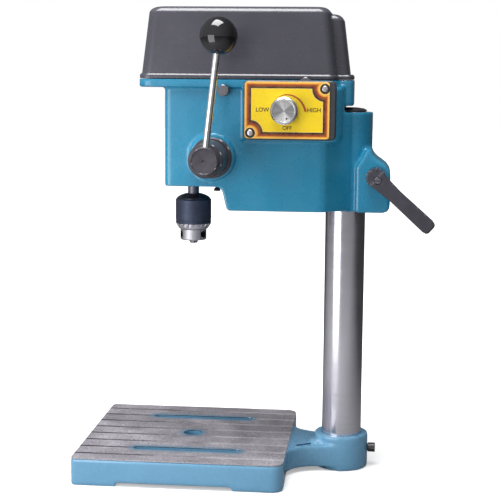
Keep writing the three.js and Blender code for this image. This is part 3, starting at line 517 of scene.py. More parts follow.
def milled_top():
    """Bare machined table: arcs of the cutter, cross scratches, a few stains, and painted highlight and shadow beside
    the grooves.
    """
    m = Mat("milled_table", (0.5, 0.48, 0.53), 0.45, 0.36, Anisotropic=0.3)
    cx, cy = -OX * 0.001, -OY * 0.001
    v = m.n("ShaderNodeMapping", {"Vector": m.co, "Location": (-cx - 0.012, -cy + 0.02, 0.0)}).outputs[0]
    arcs = m.n("ShaderNodeTexWave", {"Vector": v, "Scale": 210.0, "Distortion": 1.2, "Detail": 2.0, "Detail Scale": 1.5},
               wave_type="RINGS", rings_direction="Z").outputs["Fac"]
    wide = m.n("ShaderNodeTexWave", {"Vector": v, "Scale": 9.0, "Distortion": 5.0, "Detail": 3.0, "Detail Scale": 1.2},
               wave_type="RINGS", rings_direction="Z").outputs["Fac"]
    scratch = m.noise(1.0, 6, 0.7, m.scaled(900, 26, 26))
    blot = m.noise(32, 5, 0.65)
    f = m.math("ADD", m.math("MULTIPLY", wide, 0.12), m.math("MULTIPLY", blot, 0.88))
    c = m.ramp(f, [(0.32, (0.33, 0.3, 0.35)), (0.5, (0.47, 0.44, 0.5)), (0.68, (0.64, 0.6, 0.67))])
    c = m.mix(m.span(scratch, 0.62, 0.76, 0.0, 0.4), c, (0.62, 0.61, 0.65))
    c = m.mix(m.span(m.noise(800, 4, 0.75), 0.49, 0.6, 0.0, 0.6), c, (0.1, 0.085, 0.1))
    c = m.mix(m.span(m.noise(1300, 3, 0.7, m.scaled(1.0, 0.55, 1.0)), 0.55, 0.64, 0.0, 0.7), c, (0.95, 0.92, 0.97))
    c = m.mix(m.span(arcs, 0.2, 0.9, 0.0, 0.05), c, (0.2, 0.19, 0.21))
    p = m.n("ShaderNodeSeparateXYZ", {"Vector": m.co})
    x = m.math("MULTIPLY_ADD", p.outputs[0], 1000.0, OX)
    y = m.math("MULTIPLY_ADD", p.outputs[1], 1000.0, OY)
    fade_jitter = m.math("MULTIPLY", m.math("SUBTRACT", m.noise(120, 4, 0.7), 0.5), 14.0)
    # painted highlight beside each groove toward the back and painted shadow beside it toward the front, fading out
    # around the middle
    e = m.math("ABSOLUTE", m.math("SUBTRACT", m.math("FRACT", m.math("MULTIPLY_ADD", x, 1 / 18.7, 100.0)), 0.5))
    lit = m.span(e, 0.062, 0.092, 1.0, 0.0)
    c = m.mix(m.math("MULTIPLY", lit, m.span(m.math("ADD", y, fade_jitter), 12.0, 24.0, 0.0, 0.9)), c, (0.97, 0.97, 0.98))
    c = m.mix(m.math("MULTIPLY", lit, m.span(m.math("ADD", y, fade_jitter), -14.0, -30.0, 0.0, 0.9)), c, (0.035, 0.03, 0.035))
    # paint left in the dished borders of the slots and of the hole
    dy = m.math("MAXIMUM", m.math("SUBTRACT", m.math("ABSOLUTE", m.math("SUBTRACT", y, 3.5)), 37.5), 0.0)
    dx = m.math("SUBTRACT", m.math("ABSOLUTE", x), 46.75)
    ds = m.math("SQRT", m.math("ADD", m.math("MULTIPLY", dx, dx), m.math("MULTIPLY", dy, dy)))
    hy = m.math("SUBTRACT", y, SP_Y)
    dh = m.math("SUBTRACT", m.math("SQRT", m.math("ADD", m.math("MULTIPLY", x, x), m.math("MULTIPLY", hy, hy))), 3.2)
    near = m.math("ADD", m.math("MINIMUM", ds, dh), m.math("MULTIPLY", fade_jitter, 0.35))
    c = m.mix(m.span(near, 5.8, 9.5, 0.75, 0.0), c, (0.17, 0.36, 0.52))
    m.color(c)
    m.rough(m.span(m.math("ADD", m.math("MULTIPLY", blot, 0.7), m.math("MULTIPLY", scratch, 0.3)), 0.3, 0.7, 0.28, 0.5))
    m.normal(m.bump(arcs, 0.02, 0.0001, m.bump(scratch, 0.08, 0.0001)))
    return m.m


def printed_plate():
    """Printed panel: pale rim, red-brown shaded band that runs round the screws, yellow field."""
    m = Mat("printed_panel", (0.9, 0.6, 0.02), 0.0, 0.3, Coat_Weight=0.4, Coat_Roughness=0.12)
    s = m.n("ShaderNodeSeparateXYZ", {"Vector": m.co})
    y = m.math("MULTIPLY_ADD", s.outputs[1], 1000.0, OY)
    z = m.math("MULTIPLY", s.outputs[2], 1000.0)
    d = m.math("MINIMUM", m.math("MINIMUM", m.math("SUBTRACT", y, PLATE["y0"]), m.math("SUBTRACT", PLATE["y1"], y)),
               m.math("MINIMUM", m.math("SUBTRACT", z, PLATE["z0"]), m.math("SUBTRACT", PLATE["z1"], z)))
    for sy, sz in SCREWS:
        a, b = m.math("SUBTRACT", y, sy), m.math("SUBTRACT", z, sz)
        r = m.math("SQRT", m.math("ADD", m.math("MULTIPLY", a, a), m.math("MULTIPLY", b, b)))
        d = m.math("MINIMUM", d, m.math("MULTIPLY", m.math("SUBTRACT", r, 3.6), 0.84))
    wob = m.math("MULTIPLY", m.math("SUBTRACT", m.noise(300, 3, 0.6), 0.5), 0.35)
    f = m.span(m.math("ADD", d, wob), 0.0, 8.0, 0.0, 1.0)
    band = m.ramp(f, [(0.0, (0.2, 0.09, 0.02)), (0.03, (0.95, 0.6, 0.16)), (0.12, (0.93, 0.48, 0.06)), (0.2, (0.8, 0.27, 0.02)), (0.26, (0.36, 0.06, 0.008)), (0.38, (0.22, 0.03, 0.005)),
                      (0.47, (0.12, 0.015, 0.004)), (0.5, (0.012, 0.006, 0.005)), (0.6, (0.012, 0.006, 0.005)), (0.62, (0.9, 0.7, 0.3)), (0.66, (0.9, 0.62, 0.003)), (1.0, (0.9, 0.65, 0.002))])
    dirty = m.noise(160, 4, 0.65)
    c = m.mix(m.span(dirty, 0.4, 0.75, 0.0, 0.16), band, (0.7, 0.36, 0.01))
    rub = m.noise(1.0, 5, 0.7, m.scaled(60, 60, 500))
    c = m.mix(m.span(rub, 0.64, 0.78, 0.0, 0.25), c, (0.93, 0.78, 0.3))
    m.color(c)
    m.rough(m.span(dirty, 0.3, 0.7, 0.22, 0.38))
    m.normal(m.bump(m.noise(700, 2, 0.5), 0.08, 0.0001))
    return m.m


def spun(name, col=(0.8, 0.8, 0.82), rough=0.2):
    """Face-turned aluminium about the X axis: rings in the bump, streaks from the anisotropy, and a painted highlight
    in the colour: brighter and darker wedges by angle round the axis.
    """
    m = Mat(name, col, 1.0, rough, Anisotropic=0.85)
    s = m.n("ShaderNodeSeparateXYZ", {"Vector": m.co})
    y = m.math("ADD", s.outputs[1], (OY - KNOB_Y) * 0.001)
    z = m.math("SUBTRACT", s.outputs[2], KNOB_Z * 0.001)
    r = m.math("SQRT", m.math("ADD", m.math("MULTIPLY", y, y), m.math("MULTIPLY", z, z)))
    v = m.n("ShaderNodeCombineXYZ", {"X": m.math("MULTIPLY", r, 5200.0), "Y": m.math("MULTIPLY", s.outputs[0], 900.0)}).outputs[0]
    ring = m.noise(1.0, 3, 0.6, v)
    # painted highlight: the colour is brighter and darker in wedges by angle round the knob's axis
    ang = m.math("ARCTAN2", z, y)
    w1 = m.math("COSINE", m.math("MULTIPLY_ADD", ang, 2.0, 3.3))
    w2 = m.math("COSINE", m.math("MULTIPLY_ADD", ang, 6.0, 0.9))
    fan = m.noise(1.0, 3, 0.6, m.n("ShaderNodeCombineXYZ", {"X": m.math("MULTIPLY", m.math("COSINE", ang), 9.0), "Y": m.math("MULTIPLY", m.math("SINE", ang), 9.0)}).outputs[0])
    painted_sheen_wedges = m.math("ADD", m.math("MULTIPLY_ADD", w1, 0.24, 0.5), m.math("ADD", m.math("MULTIPLY", w2, 0.1), m.math("MULTIPLY_ADD", fan, 0.5, -0.25)))
    c = m.ramp(painted_sheen_wedges, [(0.15, tuple(k * 0.42 for k in col)), (0.5, tuple(k * 0.85 for k in col)), (0.8, tuple(min(1, k * 1.25) for k in col))])
    m.color(m.mix(m.span(ring, 0.3, 0.7, 0.0, 0.2), c, tuple(k * 0.6 for k in col)))
    m.rough(m.span(ring, 0.3, 0.7, rough * 0.8, rough * 1.3))
    m.normal(m.bump(ring, 0.1, 0.00008))
    tg = m.n("ShaderNodeTangent", direction_type="RADIAL", axis="X")
    m.put(m.b.inputs["Tangent"], tg.outputs[0])
    return m.m


TABLE_TOP = milled_top()
PANEL = printed_plate()
KNOB_ALU = spun("knob_alloy")
INK = plastic("print_ink", (0.06, 0.022, 0.01), 0.35, 900, 0.05, 0.05)
ARC_INK = plastic("arc_ink", (0.42, 0.07, 0.01), 0.35, 900, 0.05, 0.05)


# ------------------------------------------------------------------ base casting
def plan(o, rf, rr):
    h = BASE_H - o
    return rounded([(-h, -h, rf), (h, -h, rf), (h, h, rr), (-h, h, rr)], 10)


def collar_boss(t, z=17.4):
    d = Vector((0.52, -0.855, 0)).normalized()
    return Vector((d.x * t, COL_Y + d.y * t, z)), d


b = prism(plan(0, 4, 9), SKIRT_Z, 20.35)
side = [(44, 79), (36.5, 80.6), (30.5, 84.2), (26, 89), (23, 94.5), (21.4, 100.5), (20.8, 107), (20.8, 120)]
arm = [Vector(q) for q in side] + [Vector((-x, y)) for x, y in reversed(side)]
b = add(b, prism(arm, 3.2, 19.6), turn_z([(0, 0), (20.8, 0), (20.8, 26.6), (0, 26.6)], 0, COL_Y, 96))
p0, bd = collar_boss(17)
b = add(b, rod(6.0, p0, collar_boss(26.5)[0], 40))
for x0, x1 in ((-80, -58), (58, 80)):
    for y0, y1 in ((-80, -46), (42, 80)):
        b = add(b, common(prism(plan(0, 4, 9), 0, 5), box(x0, x1, y0, y1, -1, 6)))
b = cast(b, 1.15, 5)
# machined and cored openings
cells = []
for y0, y1 in ((-75, -51.5), (-48.5, 55.5), (58.5, 75)):
    for x0, x1 in ((-75, -40.1), (-37.1, -15), (-12, 12), (15, 37.1), (40.1, 75)):
        cells.append(prism(rounded([(x0, y0, 2.2), (x1, y0, 2.2), (x1, y1, 2.2), (x0, y1, 2.2)], 4), -1, 14, "z", 0, 1.6))
b = cut(b, join(*cells))
slots = [prism(rounded([(s * 46.75 - 4, -38, 3.95), (s * 46.75 + 4, -38, 3.95), (s * 46.75 + 4, 45, 3.95), (s * 46.75 - 4, 45, 3.95)], 12), 10, 30) for s in (-1, 1)]
b = cut(b, join(*slots, cyl_z(7.4, 10, 30, 0, SP_Y)))
b = cut(b, cyl_z(15.65, 3.6, 40, 0, COL_Y, 96))
b = cut(b, rod(2.9, collar_boss(14)[0], collar_boss(40)[0]), rod(2.9, (0, COL_Y + 12, 14.4), (0, COL_Y + 30, 14.4)))
piece("base_body", b, "base", BASE_PAINT, ("base_casting",), 35)

t = prism(plan(0.3, 3.7, 8.7), 20.2, TABLE_Z)
cuts = [prism(rounded([(s * 46.75 - 4, -38, 3.95), (s * 46.75 + 4, -38, 3.95), (s * 46.75 + 4, 45, 3.95), (s * 46.75 - 4, 45, 3.95)], 12), 10, 30) for s in (-1, 1)]
t = cut(t, join(*cuts, cyl_z(7.4, 10, 30, 0, SP_Y)))
lines = []
for k in range(8):
    x = 18.7 * (k - 3.5)
    lines.append(prism(rounded([(x - 0.75, -65, 0.7), (x + 0.75, -65, 0.7), (x + 0.75, 90, 0), (x - 0.75, 90, 0)], 4), TABLE_Z - 0.6, 30))
t = cut(t, join(*lines))
t = bevel(t, 0.3, 2, 40)
tf = piece("table_face", t, "base", TABLE_TOP, (), 35)
tf.data.materials.append(BASE_PAINT)
tf.data.materials.append(BRIGHT_X)
for poly in tf.data.polygons:
    nz = abs(poly.normal.z)
    if nz < 0.25 and poly.center.z * 1000 < TABLE_Z - 0.7 or poly.normal.z < -0.9:
        poly.material_index = 1
    elif nz < 0.97:
        poly.material_index = 2


def socket_screw(p, d, r, length, head_r, head_len, hexr, depth, name, body, mat, nodes):
    s = turn(soft([(0, 0), (r, 0), (r, length), (head_r, length), (head_r, length + head_len, 0.5), (0, length + head_len)] if head_r > r
                  else [(0, 0), (r, 0), (r, length, 0.3), (0, length)], 0.2), p, d, 48)
    top = length + (head_len if head_r > r else 0)
    rot = Vector((0, 0, 1)).rotation_difference(Vector(d).normalized()).to_matrix()
    hx = []
    for h in (top - depth, top + 2):
        hx += [Vector(p) + rot @ Vector((hexr * math.cos(PI / 3 * i), hexr * math.sin(PI / 3 * i), h)) for i in range(6)]
    c = mesh(hx, [(0, 1, 2, 3, 4, 5), (6, 7, 8, 9, 10, 11)] + [(i, (i + 1) % 6, 6 + (i + 1) % 6, 6 + i) for i in range(6)])
    s = cut(s, c)
    return piece(name, s, body, mat, nodes)


socket_screw((0, COL_Y + 15.95, 14.4), (0, 1, 0), 2.6, 5.1, 3.6, 5.8, 1.7, 2.6, "collar_screw", "base", SCREW_BLACK, ("column_set_screw",))
socket_screw(collar_boss(16)[0], bd, 2.6, 9.4, 0, 0, 1.5, 2.2, "collar_grub_screw", "base", BRIGHT_X, ("boss_grub_screw",))

# ------------------------------------------------------------------ column
piece("column_bar", turn_z(soft([(13.35, 4), (15.35, 4), (15.35, 278.8), (13.35, 278.8)], 0.35, 3, True), 0, COL_Y, 128), "column", COLUMN_STEEL, ("column_tube",))
piece("column_end_cap", turn_z(soft([(0, 270.8), (13.05, 270.8), (13.05, 279.1), (15.1, 279.1), (15.0, 280.1, 0.6), (13, 281.2, 2), (8.3, 281.9, 3), (0, 282.1)], 0.3), 0, COL_Y, 96),
      "column", CAP_PLASTIC, ("column_cap",))


# ------------------------------------------------------------------ head casting
def tray(o, z0, z1, lo=0.0, hi=0.0):
    main = rounded([(-40 + o, -35 + o, 9 - o), (40 - o, -35 + o, 9 - o), (40 - o, 114 - o, 7 - o / 2), (-40 + o, 114 - o, 7 - o / 2)], 12)
    tail = rounded([(-22 + o, 95, 0), (22 - o, 95, 0), (22 - o, 125.2 - o, 4.5 - o / 2), (-22 + o, 125.2 - o, 4.5 - o / 2)], 10)
    return add(prism(main, z0, z1, "z", lo, hi), prism(tail, z0, z1, "z", lo, hi))


hp = rounded([(-37, -15.5, 4), (37, -15.5, 4), (37, 104, 12), (20.5, 124, 0), (-20.5, 124, 0), (-37, 104, 12)], 10)
hs = rounded([(-16.5, 222.2, 0), (27.8, 222.2, 5.5), (32, 204.3, 3.2), (126, 204.3, 0), (126, 278.6, 0), (118.7, 278.6, 0), (118.7, 299, 0), (-16.5, 299, 0)], 10)
h = common(prism(hp, 200, 298.5), prism(hs, -60, 60, "x"))
h = add(h, tray(0, 296.4, 302.6))
h = add(h, prism(rounded([(-22, 105, 0), (22, 105, 0), (22, 125.2, 4.5), (-22, 125.2, 4.5)], 8), 283.5, 297.4))
h = add(h, turn_z([(0, 203.4), (19.8, 203.4), (19.8, 278.6), (0, 278.6)], 0, COL_Y, 96))
ear = [(128.6, 203.8), (131, 203.4), (149, 203.4), (152.2, 204.4), (153.8, 206.8), (154.2, 210), (154.2, 232), (153.4, 235.6), (151, 239), (147.4, 241.8),
       (143.6, 244.4), (140.8, 247.6), (139.4, 251.6), (136, 251.6), (133, 245), (130, 240.6), (128.6, 237.4)]
h = add(h, prism([Vector(q) for q in ear], -24, 24, "x"))
h = add(h, turn_x([(0, 30), (17, 30), (17, 41.4), (0, 41.4)], PIN_Y, PIN_Z), turn_x([(0, -38.6), (15.5, -38.6), (15.5, -30), (0, -30)], PIN_Y, PIN_Z))
pad = common(prism(rounded([(44.4, 257.2, 3), (117.2, 257.2, 5), (117.2, 297, 0), (44.4, 297, 0)], 6), 15, 40.4, "x"),
             prism(rounded([(10, 30, 0), (40.4, 30, 0), (40.4, 117.2, 8), (10, 117.2, 0)], 8), 200, 300))
h = add(h, pad)
h = cast(h, 1.05, 4)
h = cut(h, cyl_z(15.65, 190, 283.1, 0, COL_Y, 96), box(-1.2, 1.2, COL_Y + 10, 170, 190, 283.1), cyl_x(3.4, -60, 60, CLAMP_Y, CLAMP_Z),
        prism(circle(CLAMP_Y, CLAMP_Z, 6.1, 6), -60, -19, "x"), cyl_z(12.3, 190, 286.5, 0, SP_Y, 96), cyl_z(9.3, 280, 310, 0, SP_Y),
        cyl_x(10.7, -60, 8, PIN_Y, PIN_Z), cyl_x(6.3, 0, 60, PIN_Y, PIN_Z), cyl_z(18.6, 214, 310, 0, MOTOR_Y, 96), tray(3.2, 298.6, 310),
        cyl_z(1.9, 210, 240, 9, PIN_Y, 24), cyl_x(5.9, -60, -28, 96, 226))
for s in (-1, 1):
    for y, z in ((29.5, 294.4), (90.6, 300.3)):
        h = cut(h, cyl_x(2.9, min(s * 24, s * 60), max(s * 24, s * 60), y, z, 24))
piece("head_body", h, "head", HEAD_PAINT, ("head_casting",), 35)


def hex_bolt(name, s, y, z, face, inner, node):
    hx = prism(circle(y, z, 4.6, 6, PI / 6), 0.3, 4.2, "x")
    dome = turn_x(soft([(0, 0), (5, 0), (5, 3.2), (3.7, 4.3), (0, 4.3)], 0.15), y, z, 48)
    hx = common(hx, dome)
    hx = bevel(hx, 0.12, 2, 25)
    hx = add(hx, cyl_x(2.6, inner - face, 0.8, y, z, 32), turn_x(soft([(0, -0.02), (4.35, -0.02), (4.35, 0.35), (0, 0.35)], 0.1), y, z, 48))
    hx.data.transform(Matrix.Translation((face, 0, 0)))
    if s < 0:
        hx.data.transform(Matrix.Diagonal((-1, 1, 1, 1)))
        hx.data.flip_normals()
    return piece(name, hx, "head", BOLT_DARK, (node,))


hex_bolt("tray_bolt_front", 1, 29.5, 294.4, 40.0, 24.5, "plate_bolt_front")
hex_bolt("tray_bolt_rear", 1, 90.6, 300.3, 40.5, 34, "plate_bolt_rear")
hex_bolt("tray_bolt_front_far", -1, 29.5, 294.4, 40.0, 24.5, "plate_bolt_front_far")
hex_bolt("tray_bolt_rear_far", -1, 90.6, 300.3, 40.1, 34, "plate_bolt_rear_far")

gs = turn_z(soft([(0, 216.8), (2.45, 216.8, 0.15), (2.6, 217.4, 0.2), (2.2, 218.65, 0.8), (1.3, 219.45, 0.2), (1.3, 238), (0, 238)], 0.2), 9, PIN_Y, 40)
gs = cut(gs, box(8.7, 9.3, PIN_Y - 4, PIN_Y + 4, 216, 217.4))
piece("guide_screw", gs, "head", SCREW_BLACK, ("quill_guide_screw",))


# ------------------------------------------------------------------ belt cover
def cover_levels(o, ztop, low, main):
    lv = [(low, 0.0, 0.0)]
    for k in range(1, 5):
        lv.append((low + (ztop - 5.4 - low) * k / 4, k / 4, 0.0))
    for k in range(1, 13):
        a = PI / 2 * k / 12
        lv.append((ztop - 5.4 + 5.4 * math.sin(a), 1 + 0.07 * k / 12, 7.5 * (1 - math.cos(a))))
    out = []
    for z, tt, i in lv:
        e = o + i
        sx, sy = 2.8 * tt + e, 5.6 * tt + e
        if main:
            out.append((z, rounded([(-39 + sx, -33.6 + sy, 8), (39 - sx, -33.6 + sy, 8), (39 - sx, 113.5 - sy, 7), (-39 + sx, 113.5 - sy, 7)], 12)))
        else:
            out.append((z, rounded([(-21.3 + sx * 0.8, 90, 2), (21.3 - sx * 0.8, 90, 2), (21.3 - sx * 0.8, 122.6 - sy, 4.5), (-21.3 + sx * 0.8, 122.6 - sy, 4.5)], 10)))
    return out


def lip(o0, prof):
    """The flange that sits on the tray: main and tail outlines skinned through (z, inset)."""
    m, tl = [], []
    for z, o in prof:
        m.append((z, rounded([(-40 + o, -35 + o, 9 - o), (40 - o, -35 + o, 9 - o), (40 - o, 114 - o, 7 - o / 2), (-40 + o, 114 - o, 7 - o / 2)], 12)))
        tl.append((z, rounded([(-22 + o, 95, 0), (22 - o, 95, 0), (22 - o, 125.2 - o, 4.5 - o / 2), (-22 + o, 125.2 - o, 4.5 - o / 2)], 10)))
    return add(rings(m), rings(tl))


c = add(rings(cover_levels(0, 356.2, 302.9, True)), rings(cover_levels(0, 351.6, 302.9, False)),
        lip(0, [(302.9, 0.5), (303.05, 0.28), (303.4, 0.2), (305.3, 0.2), (305.6, 0.36), (306.4, 1.1), (306.62, 1.4), (306.7, 1.8)]))
inner = add(rings(cover_levels(2.2, 354.0, 301.9, True)), rings(cover_levels(2.2, 349.4, 301.9, False)))
c = cut(c, inner)
c = bevel(c, 0.35, 2, 38)
piece("cover_shell", c, "cover", COVER_PLASTIC, ("belt_cover",), 30)

# ------------------------------------------------------------------ quill and chuck
q = turn_z(soft([(5.6, 226), (9.2, 226, 0.2), (11.2, 226, 0.2), (12, 226.8, 0.2), (12, 280.4), (11.4, 281), (5.6, 281)], 0.25, 3, True), 0, SP_Y, 96)
py = PIN_Y - 9
q = cut(q, box(-20, 20, py + 0.9, 40, 234, 273))
gaps = []
for k in range(-3, 9):
    zc = PIN_Z + PI * k
    gaps.append(prism([Vector(v) for v in ((py + 1.2, zc - 1.47), (py + 1.2, zc + 1.47), (py - 1.15, zc + 0.55), (py - 1.15, zc - 0.55))][::-1], -20, 20, "x"))
q = cut(q, join(*gaps), cyl_z(9.2, 220, 231.2, 0, SP_Y), cyl_z(9.2, 275.8, 290, 0, SP_Y))
piece("quill_sleeve", q, "quill", BRIGHT_Z, ("quill",))
for nm, z0, z1 in (("quill_bearing_lower", 226.2, 230.9), ("quill_bearing_upper", 276.1, 280.8)):
    br = turn_z(soft([(5.3, z0), (6.3, z0), (6.3, z0 + 0.5), (7.9, z0 + 0.5), (7.9, z0), (8.95, z0), (8.95, z1), (5.3, z1)], 0.2, 3, True), 0, SP_Y, 80)
    piece(nm + "_race", br, "quill", BRIGHT_Z, (nm,))
piece("spindle_bar", turn_z(soft([(0, 198.6), (4.35, 198.6), (4.35, 224.5), (5, 225.2), (5, 284), (4, 285), (4, 333.2), (3.4, 334), (0, 334)], 0.3), 0, SP_Y, 72),
      "spindle", NECK_STEEL, ("spindle_shaft",))

TAN, TIP_Z, TIP_R = math.tan(math.radians(16)), 174.8, 1.35


def jaw_at(a, z):
    r = TIP_R + (z - TIP_Z) * TAN
    return (r * math.cos(a), SP_Y + r * math.sin(a), z)


JAWS = [-0.04 + 2 * PI * i / 3 for i in range(3)]
cb = turn_z(soft([(0, 179.2), (3.2, 177.5, 0.2), (9.4, 177.5, 0.5), (10.2, 178.3, 0.3), (10.2, 186), (9.6, 186), (9.6, 210.3), (13.0, 210.3), (12.6, 210.9, 0.3), (10.2, 212.4, 1.5), (7.4, 213.45, 1.0), (5.8, 213.85, 0.3), (0, 213.85)], 0.25, 5), 0, SP_Y, 96)
cb = cut(cb, cyl_z(4.65, 198.3, 220, 0, SP_Y), cyl_z(3.2, 170, 192, 0, SP_Y))
for a in JAWS:
    cb = cut(cb, rod(2.15, jaw_at(a, 168), jaw_at(a, 205.4)))
for a in JAWS:
    k = a + PI / 3
    cx, cy = math.cos(k), math.sin(k)
    cb = cut(cb, rod(2.7, (4.9 * cx, SP_Y + 4.9 * cy, 182.2), (14 * cx, SP_Y + 14 * cy, 182.2)))
shoulder = common(link(cb.data.copy()), cyl_z(20, 210.2, 216, 0, SP_Y, 96))
cb = cut(cb, cyl_z(20, 210.2, 216, 0, SP_Y, 96))
ck = piece("chuck_core", cb, "spindle", NOSE_STEEL, ("chuck_body",))
ck.data.materials.append(SCREW_BLACK)
# painted shade: the walls of the three key holes take the black screw finish so the holes read dark
for poly in ck.data.polygons:
    px, py_, pz = poly.center.x * 1000 + OX, poly.center.y * 1000 + OY - SP_Y, poly.center.z * 1000 - 182.2
    for a in JAWS:
        k = a + PI / 3
        along, over = px * math.cos(k) + py_ * math.sin(k), -px * math.sin(k) + py_ * math.cos(k)
        if 4.8 < along < 10.15 and over * over + pz * pz < 2.78 ** 2:
            poly.material_index = 1
piece("chuck_shoulder_dome", shoulder, "spindle", SHOULDER_BLACK, ())
teeth = []
for i in range(20):
    for f, r in ((0.02, 13.75), (0.2, 13.8), (0.42, 13.75), (0.56, 12.35), (0.88, 12.35)):
        tt = 2 * PI * (i + f) / 20
        teeth.append(Vector((r * math.cos(tt), SP_Y + r * math.sin(tt))))
rim_gear = common(prism(teeth, 186.35, 190.55), turn_z([(0, 186.3), (11.15, 186.3), (13.7, 190.0), (13.7, 190.6), (0, 190.6)], 0, SP_Y, 96))
rim_gear = cut(rim_gear, turn_z([(0, 180), (10.55, 180), (10.55, 189.2), (12, 189.8), (12, 214), (0, 214)], 0, SP_Y, 72))
piece("chuck_gear_teeth", rim_gear, "chuck_sleeve", NOSE_STEEL, ())
sl = turn_z(soft([(0, 190.55), (13.3, 190.55, 0.2), (13.9, 191.1, 0.3), (13.9, 192.2, 0.1), (13.6, 192.5, 0.1), (13.6, 193.1, 0.1), (13.9, 193.4, 0.1), (13.9, 208.9, 0.8), (13.2, 210, 0.5), (0, 210)], 0.2, 4), 0, SP_Y, 96)
sl = cut(sl, turn_z([(0, 180), (10.55, 180), (10.55, 189.2), (12, 189.8), (12, 214), (0, 214)], 0, SP_Y, 72))
piece("chuck_ring", sl, "chuck_sleeve", SLEEVE_BLUED, ("chuck_sleeve",))
for n, a in enumerate(JAWS):
    j = rod(1.8, jaw_at(a, TIP_Z - 4), jaw_at(a, 194), 32)
    j = cut(j, box(-20, 20, -20, 20, 150, TIP_Z))
    k0 = Vector((0.14 * math.cos(a), SP_Y + 0.14 * math.sin(a)))
    wedge = [k0] + [k0 + Vector((30 * math.cos(a + s * PI / 3 * 0.985), 30 * math.sin(a + s * PI / 3 * 0.985))) for s in (-1, 1)]
    j = common(j, prism(wedge, 160, 210))
    piece(f"jaw_bar_{n + 1}", j, f"jaw_{n + 1}", JAW_STEEL, (f"chuck_jaw_{n + 1}",))

# ------------------------------------------------------------------ drive
piece("pulley_bearing_race", turn_z(soft([(6.4, 289.6), (7.2, 289.6), (7.2, 290), (8.2, 290), (8.2, 289.6), (9, 289.6), (9, 298.2), (6.4, 298.2)], 0.2, 3, True), 0, SP_Y, 72), "head", BRIGHT_Z, ("pulley_bearing",))


def pulley(R, bore, stem, y, hub):
    z0, z1 = 303.3, 312.3
    g = [(R, z0), (R, z0 + 1.3), (R - 2.4, z0 + 1.9), (R - 2.4, z1 - 1.9), (R, z1 - 1.3), (R, z1)]
    return turn_z(soft(stem + g + hub, 0.25, 3, True), 0, y, 96)


sp = pulley(24, 4.3, [(4.3, 290), (6.1, 290), (6.1, 302.4), (8, 303.3)], SP_Y, [(21.4, 312.3), (20.6, 310.8), (9.8, 310.8), (9, 312.3), (7.6, 315.3), (4.3, 315.3)])
piece("pulley_large", sp, "pulley", PULLEY_METAL, ("spindle_pulley",))
mp = pulley(9.6, 2.1, [(2.1, 302), (5.5, 302), (5.5, 303.3)], MOTOR_Y, [(6.4, 312.3), (5.8, 311.6), (2.1, 311.6)])
piece("pulley_small", mp, "rotor", PULLEY_METAL, ("motor_pulley",))


def belt_path(g, n1=40, n2=20):
    r1, r2, D = 21.6 + g, 7.2 + g, MOTOR_Y - SP_Y
    al = math.asin((r1 - r2) / D)
    p = []
    for i in range(n1 + 1):
        tt = PI - al + (PI + 2 * al) * i / n1
        p.append(Vector((r1 * math.cos(tt), SP_Y + r1 * math.sin(tt))))
    for i in range(n2 + 1):
        tt = al + (PI - 2 * al) * i / n2
        p.append(Vector((r2 * math.cos(tt), MOTOR_Y + r2 * math.sin(tt))))
    return p


bo = rings([(305.4, belt_path(0.9)), (305.5, belt_path(2.2)), (305.9, belt_path(2.5)), (309.7, belt_path(2.5)), (310.1, belt_path(2.2)), (310.2, belt_path(0.9))])
bi = rings([(300, belt_path(1.6)), (305.6, belt_path(0.6)), (310.0, belt_path(0.6)), (315, belt_path(1.6))])
piece("vee_belt", cut(bo, bi), "head", BELT_RUBBER, ("drive_belt",))
pl = prism(rounded([(-32, 27, 3), (32, 27, 3), (32, 97, 3), (-32, 97, 3)], 6), 298.9, 301.4, "z", 0.2, 0.3)
pl = cut(pl, cyl_z(6.2, 290, 310, 0, MOTOR_Y), cyl_z(1.8, 290, 310, 0, MOTOR_Y - 12, 24), cyl_z(1.8, 290, 310, 0, MOTOR_Y + 12, 24))
piece("motor_mount_plate", pl, "head", PLATE_METAL, ("motor_plate",))
for i, y in ((1, MOTOR_Y - 12), (2, MOTOR_Y + 12)):
    s = turn_z(soft([(0, 294), (1.5, 294), (1.5, 301.7), (2.9, 301.7, 0.1), (2.7, 303.0, 0.5), (1.4, 303.8, 0.4), (0, 303.8)], 0.15), 0, y, 36)
    s = cut(s, join(box(-0.35, 0.35, y - 1.7, y - 0.36, 303.0, 305), box(-0.35, 0.35, y + 0.36, y + 1.7, 303.0, 305)), box(-1.7, 1.7, y - 0.35, y + 0.35, 303.0, 305))
    piece(f"mount_screw_{i}", s, "head", BRIGHT_Z, (f"motor_screw_{i}",))
mc = turn_z(soft([(0, 230.5), (7, 230.5), (7.6, 232), (17, 232), (18, 233, 0.8), (18, 297.6, 0.6), (17, 298.5), (0, 298.5)], 0.3), 0, MOTOR_Y, 96)
mc = cut(mc, turn_z([(0, 233), (13, 233), (13, 296), (3.2, 296), (3.2, 320), (0, 320)], 0, MOTOR_Y, 64))
for y in (MOTOR_Y - 12, MOTOR_Y + 12):
    mc = cut(mc, cyl_z(1.75, 293.5, 310, 0, y, 24))
piece("motor_shell", mc, "head", MOTOR_METAL, ("motor_can",))
piece("motor_armature", turn_z(soft([(0, 233.4), (2.4, 233.4), (2.4, 238), (12.2, 238), (12.2, 286), (2.4, 286), (1.9, 292), (1.9, 313.2), (0, 313.2)], 0.3), 0, MOTOR_Y, 64),
      "rotor", MOTOR_METAL, ("motor_rotor",))

